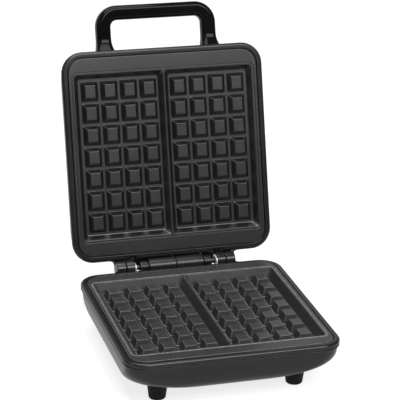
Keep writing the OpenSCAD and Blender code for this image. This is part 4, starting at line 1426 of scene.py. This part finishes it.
@dataclass(frozen=True)
class Feet:
    """The four feet under the base."""

    span: float = 149.0
    front_y: float = -78.0
    rear_y: float = 88.0
    r_low: float = 8.8
    r_top: float = 11.0
    edge_r: float = 1.6
    low_z: float = 0.8
    shoulder_z: float = 18.1
    top_z: float = 29.2
    pad_r: float = 6.0
    pad_t: float = 2.8
    pad_fit: float = 0.05
    ring_r: float = 2.3
    ring_z: float = 0.25

    def places(self) -> dict[str, Vector]:
        """Gives each foot's name and place."""
        return {f"foot_{end}_{name}": Vector((side * self.span / 2, y, 0))
                for end, y in (("front", self.front_y), ("rear", self.rear_y))
                for side, name in SIDES.items()}

    def foot(self, name: str, place: Vector) -> Piece:
        """Builds a foot with a socket for its pad.

        Args:
            name: Name of the piece.
            place: Where it stands.

        Returns:
            The foot.
        """
        socket_r = self.pad_r + self.pad_fit
        profile = rounded_path(
            [(0, self.pad_t), (socket_r, self.pad_t), (socket_r, self.low_z),
             (self.r_low, self.low_z), (self.r_top, self.shoulder_z), (self.r_top, self.top_z),
             (0, self.top_z)],
            [0, 0.1, 0.3, self.edge_r, 3.0, 0.5, 0])
        return Draft(name, BodyName.BASE).lathe(profile, place, UPWARD, 56).piece()

    def pads(self) -> Piece:
        """Builds the four rubber pads, each with a ring pressed into it.

        Returns:
            The pads in one piece.
        """
        r, top = self.pad_r - 0.02, self.pad_t - 0.02
        profile = rounded_path(
            [(0, self.ring_z), (self.ring_r, self.ring_z), (self.ring_r, 0), (r, 0), (r, top),
             (0, top)],
            [0, 0.1, 0.15, 0.5, 0.05, 0], 4)
        draft = Draft("foot_pads", BodyName.BASE)
        for place in self.places().values():
            draft.lathe(profile, place, UPWARD, 48)
        return draft.piece()


@dataclass(frozen=True)
class ScrewWells:
    """The four wells under the base through which its plate is screwed on."""

    x: float = 82.0
    y: float = 48.0
    hole_r: float = 4.2
    hole_z: tuple[float, float] = (2.0, 32.0)
    bore_r: float = 4.25
    screw_r: float = 2.1
    outer_r: float = 6.0
    low_z: float = 17.6
    seat_z: float = 28.0
    top_z: float = 32.4

    def _places(self) -> list[Vector]:
        """Gives the foot of each well's axis."""
        return [Vector((x, y, 0)) for x in (-self.x, self.x) for y in (-self.y, self.y)]

    def cutters(self) -> list[Piece]:
        """Builds the shapes that open the wells in the base's bowl.

        Returns:
            The closed shapes.
        """
        low, high = self.hole_z
        profile = [(0, low), (self.hole_r, low), (self.hole_r, high), (0, high)]
        return [Draft("well_cutter", BodyName.BASE).lathe(profile, place, UPWARD, 40).piece()
                for place in self._places()]

    def sleeves(self) -> Piece:
        """Builds the four sleeves, each with a seat for a screw's head.

        Returns:
            The sleeves in one piece.
        """
        draft = Draft("screw_wells", BodyName.BASE)
        profile = [(self.bore_r, self.low_z), (self.outer_r, self.low_z),
                   (self.outer_r, self.top_z), (self.screw_r, self.top_z),
                   (self.screw_r, self.seat_z), (self.bore_r, self.seat_z)]
        for place in self._places():
            draft.lathe(profile, place, UPWARD, 40, wrap=True)
        return draft.piece()


@dataclass(frozen=True)
class Indicators:
    """The two lenses in the top of the lid, drawn with the lid shut."""

    top_z: float
    x: float = 10.0
    y: float = -26.0
    r: float = 4.0
    proud: float = 0.8
    rim: float = 0.35
    flange_r: float = 5.4
    flange_z: tuple[float, float] = (-3.8, -2.5)

    def lens(self, draft: Draft, side: int) -> Piece:
        """Builds a lens with a low crown.

        Args:
            draft: The empty draft of the lens.
            side: -1 for the power lens, 1 for the ready lens.

        Returns:
            The lens.
        """
        low, high = self.flange_z
        crown = [(self.r * math.sin(a), self.proud * (self.rim + (1 - self.rim) * math.cos(a)))
                 for a in arc_angles(8)]
        profile = [(0, low), (self.flange_r, low), (self.flange_r, high), (self.r, high),
                   *reversed(crown)]
        origin = Vector((side * self.x, self.y, self.top_z))
        return draft.lathe(profile, origin, UPWARD, 40).piece()


@dataclass(frozen=True)
class CordInlet:
    """The bush in the rear wall of the base."""

    z: float = 38.0
    in_y: float = 100.75
    out_y: float = 116.75
    flange_t: float = 2.0
    r: float = 6.0
    fit: float = 0.1
    flange_r: float = 8.5
    bore_r: float = 3.5
    hole_y: tuple[float, float] = (104.0, 124.0)

    def cutter(self) -> Piece:
        """Builds the shape that opens the bush's hole in the base's bowl.

        Returns:
            The closed shape.
        """
        (near, far), r = self.hole_y, self.r + self.fit
        profile = [(0, near), (r, near), (r, far), (0, far)]
        draft = Draft("inlet_cutter", BodyName.BASE)
        return draft.lathe(profile, UPWARD * self.z, BACKWARD, 40).piece()

    def bush(self) -> Piece:
        """Builds the bush with its stepped flange and soft bore edges.

        Returns:
            The bush.
        """
        face = self.out_y + self.flange_t - self.in_y
        seat = face - self.flange_t
        profile = rounded_path(
            [(self.bore_r, 0), (self.r, 0), (self.r, seat), (self.flange_r, seat),
             (self.flange_r, face - 0.7), (self.flange_r - 1.6, face - 0.5),
             (self.flange_r - 2.0, face), (self.bore_r, face), (self.bore_r, 0)],
            [0, 0.3, 0.1, 0.4, 0.5, 0.3, 0.3, 0.7, 0], 4)[:-1]
        draft = Draft("cord_inlet_bush", BodyName.BASE)
        draft.lathe(profile, Vector((0, self.in_y, self.z)), BACKWARD, 56, wrap=True)
        return draft.piece()


class WaffleMaker:
    """The whole waffle maker, built piece by piece."""

    def __init__(self) -> None:
        """Sets the sizes and builds the finishes."""
        self.body = Body()
        self.hinge = Hinge.of_frame()
        self.shelf = FinishShelf()
        self.made: set[str] = set()

    def put(self, piece: Piece, slot: str, *nodes: str) -> None:
        """Dresses a new piece and lets it stand for CAD nodes.

        Args:
            piece: The piece.
            slot: Its material slot.
            nodes: The CAD nodes that it stands for.
        """
        self.shelf.dress(piece, slot)
        if nodes:
            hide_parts(*nodes)
            self.made.update(nodes)

    def build_base(self) -> None:
        """Builds the base: housing, trim, plate, feet and cord inlet."""
        b, base = self.body, BodyName.BASE
        feet, wells, inlet = Feet(), ScrewWells(), CordInlet()
        seat = Matrix.Translation((0, 0, b.base_top_z))
        bowl = Shell(b).build(Draft("base_bowl", base, Matrix.Translation((0, 0, b.bowl_top_z))))
        cut_away(bowl, [*wells.cutters(), inlet.cutter()])
        self.put(bowl, "housing_gloss", "base_housing")
        self.put(wells.sleeves(), "housing_gloss")
        trim = TrimRing(b, lip_h=1.6)
        self.put(trim.build(Draft("base_trim", base, seat, TRIM_SHARP)), "trim_gloss", "base_trim")
        lower = WafflePlate(b, depth=11.4, slope=5.0, knob_h=9.6, flare=3.5)
        self.put(lower.build(Draft("lower_plate", base, seat, PLATE_SHARP)), "lower_nonstick",
                 "lower_plate")
        for name, place in feet.places().items():
            self.put(feet.foot(name, place), "foot_plastic", name)
        self.put(feet.pads(), "foot_rubber", "foot_pads")
        self.put(inlet.bush(), "bush_plastic", "cord_inlet_bush")

    def build_lid(self) -> None:
        """Builds the lid: housing, trim, plate, handle and indicators."""
        b, lid, opened = self.body.of_lid(), BodyName.LID, self.hinge.opened()
        flip = Matrix.Scale(-1, 4, UPWARD)
        dome = opened @ Matrix.Translation((0, 0, b.dome_low_z)) @ flip
        seat = opened @ Matrix.Translation((0, 0, b.lid_low_z)) @ flip
        self.put(Shell(b).build(Draft("lid_dome", lid, dome)), "housing_gloss", "lid_housing")
        trim = TrimRing(b, notch=(43.6, 57.8))
        self.put(trim.build(Draft("lid_trim", lid, seat, TRIM_SHARP)), "trim_gloss", "lid_trim")
        upper = WafflePlate(b, depth=7.0, slope=4.6, knob_h=5.9, flare=4.0)
        self.put(upper.build(Draft("upper_plate", lid, seat, PLATE_SHARP)), "upper_nonstick",
                 "upper_plate")
        for up, name in ((-1, "handle_grip"), (1, "handle_crest")):
            half = Draft(name, lid, opened, HANDLE_SHARP)
            self.put(Handle(b).build(half, up), "handle_gloss", name)
        end = math.sin(math.radians(b.last_angle)) ** (2 / b.bowl_power)
        lenses = Indicators(b.dome_low_z + b.bowl_h * end)
        for side, name, slot in ((-1, "power_lens", "red_lens"), (1, "ready_lens", "green_lens")):
            self.put(lenses.lens(Draft(name, lid, opened), side), slot, name)

    def build_hinge(self) -> None:
        """Builds the towers, knuckles, barrel halves, collars, saddles and webs."""
        parts = HingeParts(self.body, self.hinge)
        for side in SIDES:
            for piece in (*(parts.prong(on, side) for on in BodyName), parts.heel(side),
                          parts.cover_end(side)):
                self.put(piece, "housing_gloss")
            for on in BodyName:
                self.put(parts.web(on, side), "trim_gloss")
        for piece in (*parts.covers(), *(parts.saddle(on) for on in BodyName)):
            self.put(piece, "housing_gloss")
        for on in BodyName:
            self.put(parts.barrel(on), "barrel_plastic", f"barrel_{on.value}_half")
        for on in BodyName:
            self.put(parts.collar(on), "barrel_plastic", f"collar_{SIDES[on.up]}")

    def dress_kept_nodes(self) -> None:
        """Gives every CAD node that stays its finish."""
        for name in sorted(set(frame["nodes"]) - self.made):
            self.shelf.dress_node(name)
            log.info("node  %-26s stays, with a new finish", name)


# ---- Studio ----


@dataclass(frozen=True)
class SoftBox:
    """A soft rectangular lamp, in metres and watts."""

    name: str
    place: Place
    aim: Place
    size: tuple[float, float]
    power: float

    def hang(self) -> None:
        """Adds the lamp to the scene."""
        data = bpy.data.lights.new(self.name, "AREA")
        data.shape = "RECTANGLE"
        data.size, data.size_y = self.size
        data.energy = self.power
        lamp = add_object(self.name, data)
        lamp.location = self.place
        look = Vector(self.aim) - Vector(self.place)
        lamp.rotation_euler = look.to_track_quat("-Z", "Y").to_euler()


@dataclass(frozen=True)
class Studio:
    """Camera, floor, soft lamps and surroundings."""

    eye: Place = (-525.1, -1741.7, 882.2)
    forward: Place = (0.26478, 0.89505, -0.35886)
    roll_degrees: float = 1.24
    focal_px: float = 1863.6
    fill: float = 0.05
    glossy_fill: float = 0.16
    floor_reflection: float = 0.45
    half: float = 2.4
    backdrop_h: float = 2.2
    shade_paint: Colour = grey(0.85)
    soft_boxes: tuple[SoftBox, ...] = (
        SoftBox("overhead soft box", (-0.2, 0.0, 1.8), (0, 0, 0.1), (1.4, 1.2), 26),
        SoftBox("front soft box", (0.6, -1.88, 1.79), (0, 0, 0.15), (1.8, 1.2), 50),
        SoftBox("left soft box", (-1.9, -0.2, 1.2), (0, 0, 0.1), (0.25, 1.0), 3),
    )

    def camera(self) -> None:
        """Places the camera."""
        forward = Vector(self.forward).normalized()
        level = forward.cross(UPWARD).normalized()
        above = level.cross(forward)
        roll = math.radians(self.roll_degrees)
        right = level * math.cos(roll) + above * math.sin(roll)
        up = above * math.cos(roll) - level * math.sin(roll)
        data = bpy.data.cameras.new("camera")
        data.sensor_fit = "HORIZONTAL"
        data.sensor_width = SENSOR_MM
        data.lens = SENSOR_MM * self.focal_px / FRAME_PX
        data.clip_end = 50
        matrix = Matrix((right, up, -forward)).transposed().to_4x4()
        matrix.translation = Vector(self.eye) * MM
        camera = add_object("camera", data)
        camera.matrix_world = matrix
        bpy.context.scene.camera = camera

    def _pale(self, name: str, paint: float, glow: float) -> Material:
        """Makes a pale matt material that looks white to the eye and in reflections.

        Args:
            name: Name of the material.
            paint: Brightness of the paint for those rays, which keeps the shadows.
            glow: Light that is added for those rays.

        Returns:
            The material.
        """
        material = bpy.data.materials.new(name)
        material.use_nodes = True
        material.node_tree.nodes.clear()
        sheet = NodeSheet(material.node_tree)
        shade = sheet.add("ShaderNodeBsdfDiffuse", Color=self.shade_paint)
        seen_paint = sheet.add("ShaderNodeBsdfDiffuse", Color=grey(paint))
        rays = sheet.add("ShaderNodeLightPath").outputs
        direct = sheet.math("MAXIMUM", rays["Is Camera Ray"], rays["Is Transmission Ray"])
        seen = sheet.math("MAXIMUM", direct, rays["Is Glossy Ray"])
        level = sheet.ramp(direct, 0, 1, self.floor_reflection * glow, glow)
        lit = sheet.add("ShaderNodeEmission", Strength=level)
        both, choice = sheet.add("ShaderNodeAddShader"), sheet.add("ShaderNodeMixShader")
        for source, target in (
                (seen_paint.outputs[0], both.inputs[0]), (lit.outputs[0], both.inputs[1]),
                (seen, choice.inputs[0]), (shade.outputs[0], choice.inputs[1]),
                (both.outputs[0], choice.inputs[2])):
            sheet.feed(source, target)
        sheet.add("ShaderNodeOutputMaterial", Surface=choice.outputs[0])
        return material

    def panel(self, name: str, corners: list[Place], material: Material) -> None:
        """Adds a flat part of the studio.

        Args:
            name: Name of the panel.
            corners: Its corners in metres.
            material: What it is made of.
        """
        mesh = bpy.data.meshes.new(name)
        mesh.from_pydata(corners, [], [(0, 1, 2, 3)])
        mesh.materials.append(material)
        add_object(name, mesh)

    def world(self) -> None:
        """Makes the surroundings white to the eye, and dimmer as a light and in reflections."""
        world = bpy.data.worlds.new("surroundings")
        bpy.context.scene.world = world
        world.use_nodes = True
        sheet = NodeSheet(world.node_tree)
        back = next(n for n in world.node_tree.nodes if n.type == "BACKGROUND")
        back.inputs["Color"].default_value = grey(1)
        rays = sheet.add("ShaderNodeLightPath").outputs
        seen = sheet.math("MAXIMUM", rays["Is Camera Ray"], rays["Is Transmission Ray"])
        level = sheet.ramp(rays["Is Glossy Ray"], 0, 1, self.fill, self.glossy_fill)
        sheet.feed(sheet.math("MAXIMUM", seen, level), back.inputs["Strength"])

    def build(self) -> None:
        """Builds the whole studio."""
        bpy.context.scene.view_settings.view_transform = "Standard"
        self.camera()
        self.world()
        half, top = self.half, self.backdrop_h
        self.panel("floor", [(-half, -half, 0), (half, -half, 0), (half, half, 0),
                             (-half, half, 0)], self._pale("studio floor", 0.40, 0.80))
        self.panel("backdrop", [(-half, half, 0), (half, half, 0), (half, half, top),
                                (-half, half, top)], self._pale("studio backdrop", 0.3, 0.95))
        for soft_box in self.soft_boxes:
            soft_box.hang()


def main() -> None:
    """Builds the waffle maker and its studio."""
    maker = WaffleMaker()
    steps: tuple[tuple[str, Callable[[], None]], ...] = (
        ("base", maker.build_base),
        ("lid", maker.build_lid),
        ("hinge", maker.build_hinge),
        ("kept nodes", maker.dress_kept_nodes),
        ("studio", Studio().build),
    )
    for label, step in steps:
        log.info("building: %s", label)
        step()


if __name__ == "__main__":
    main()
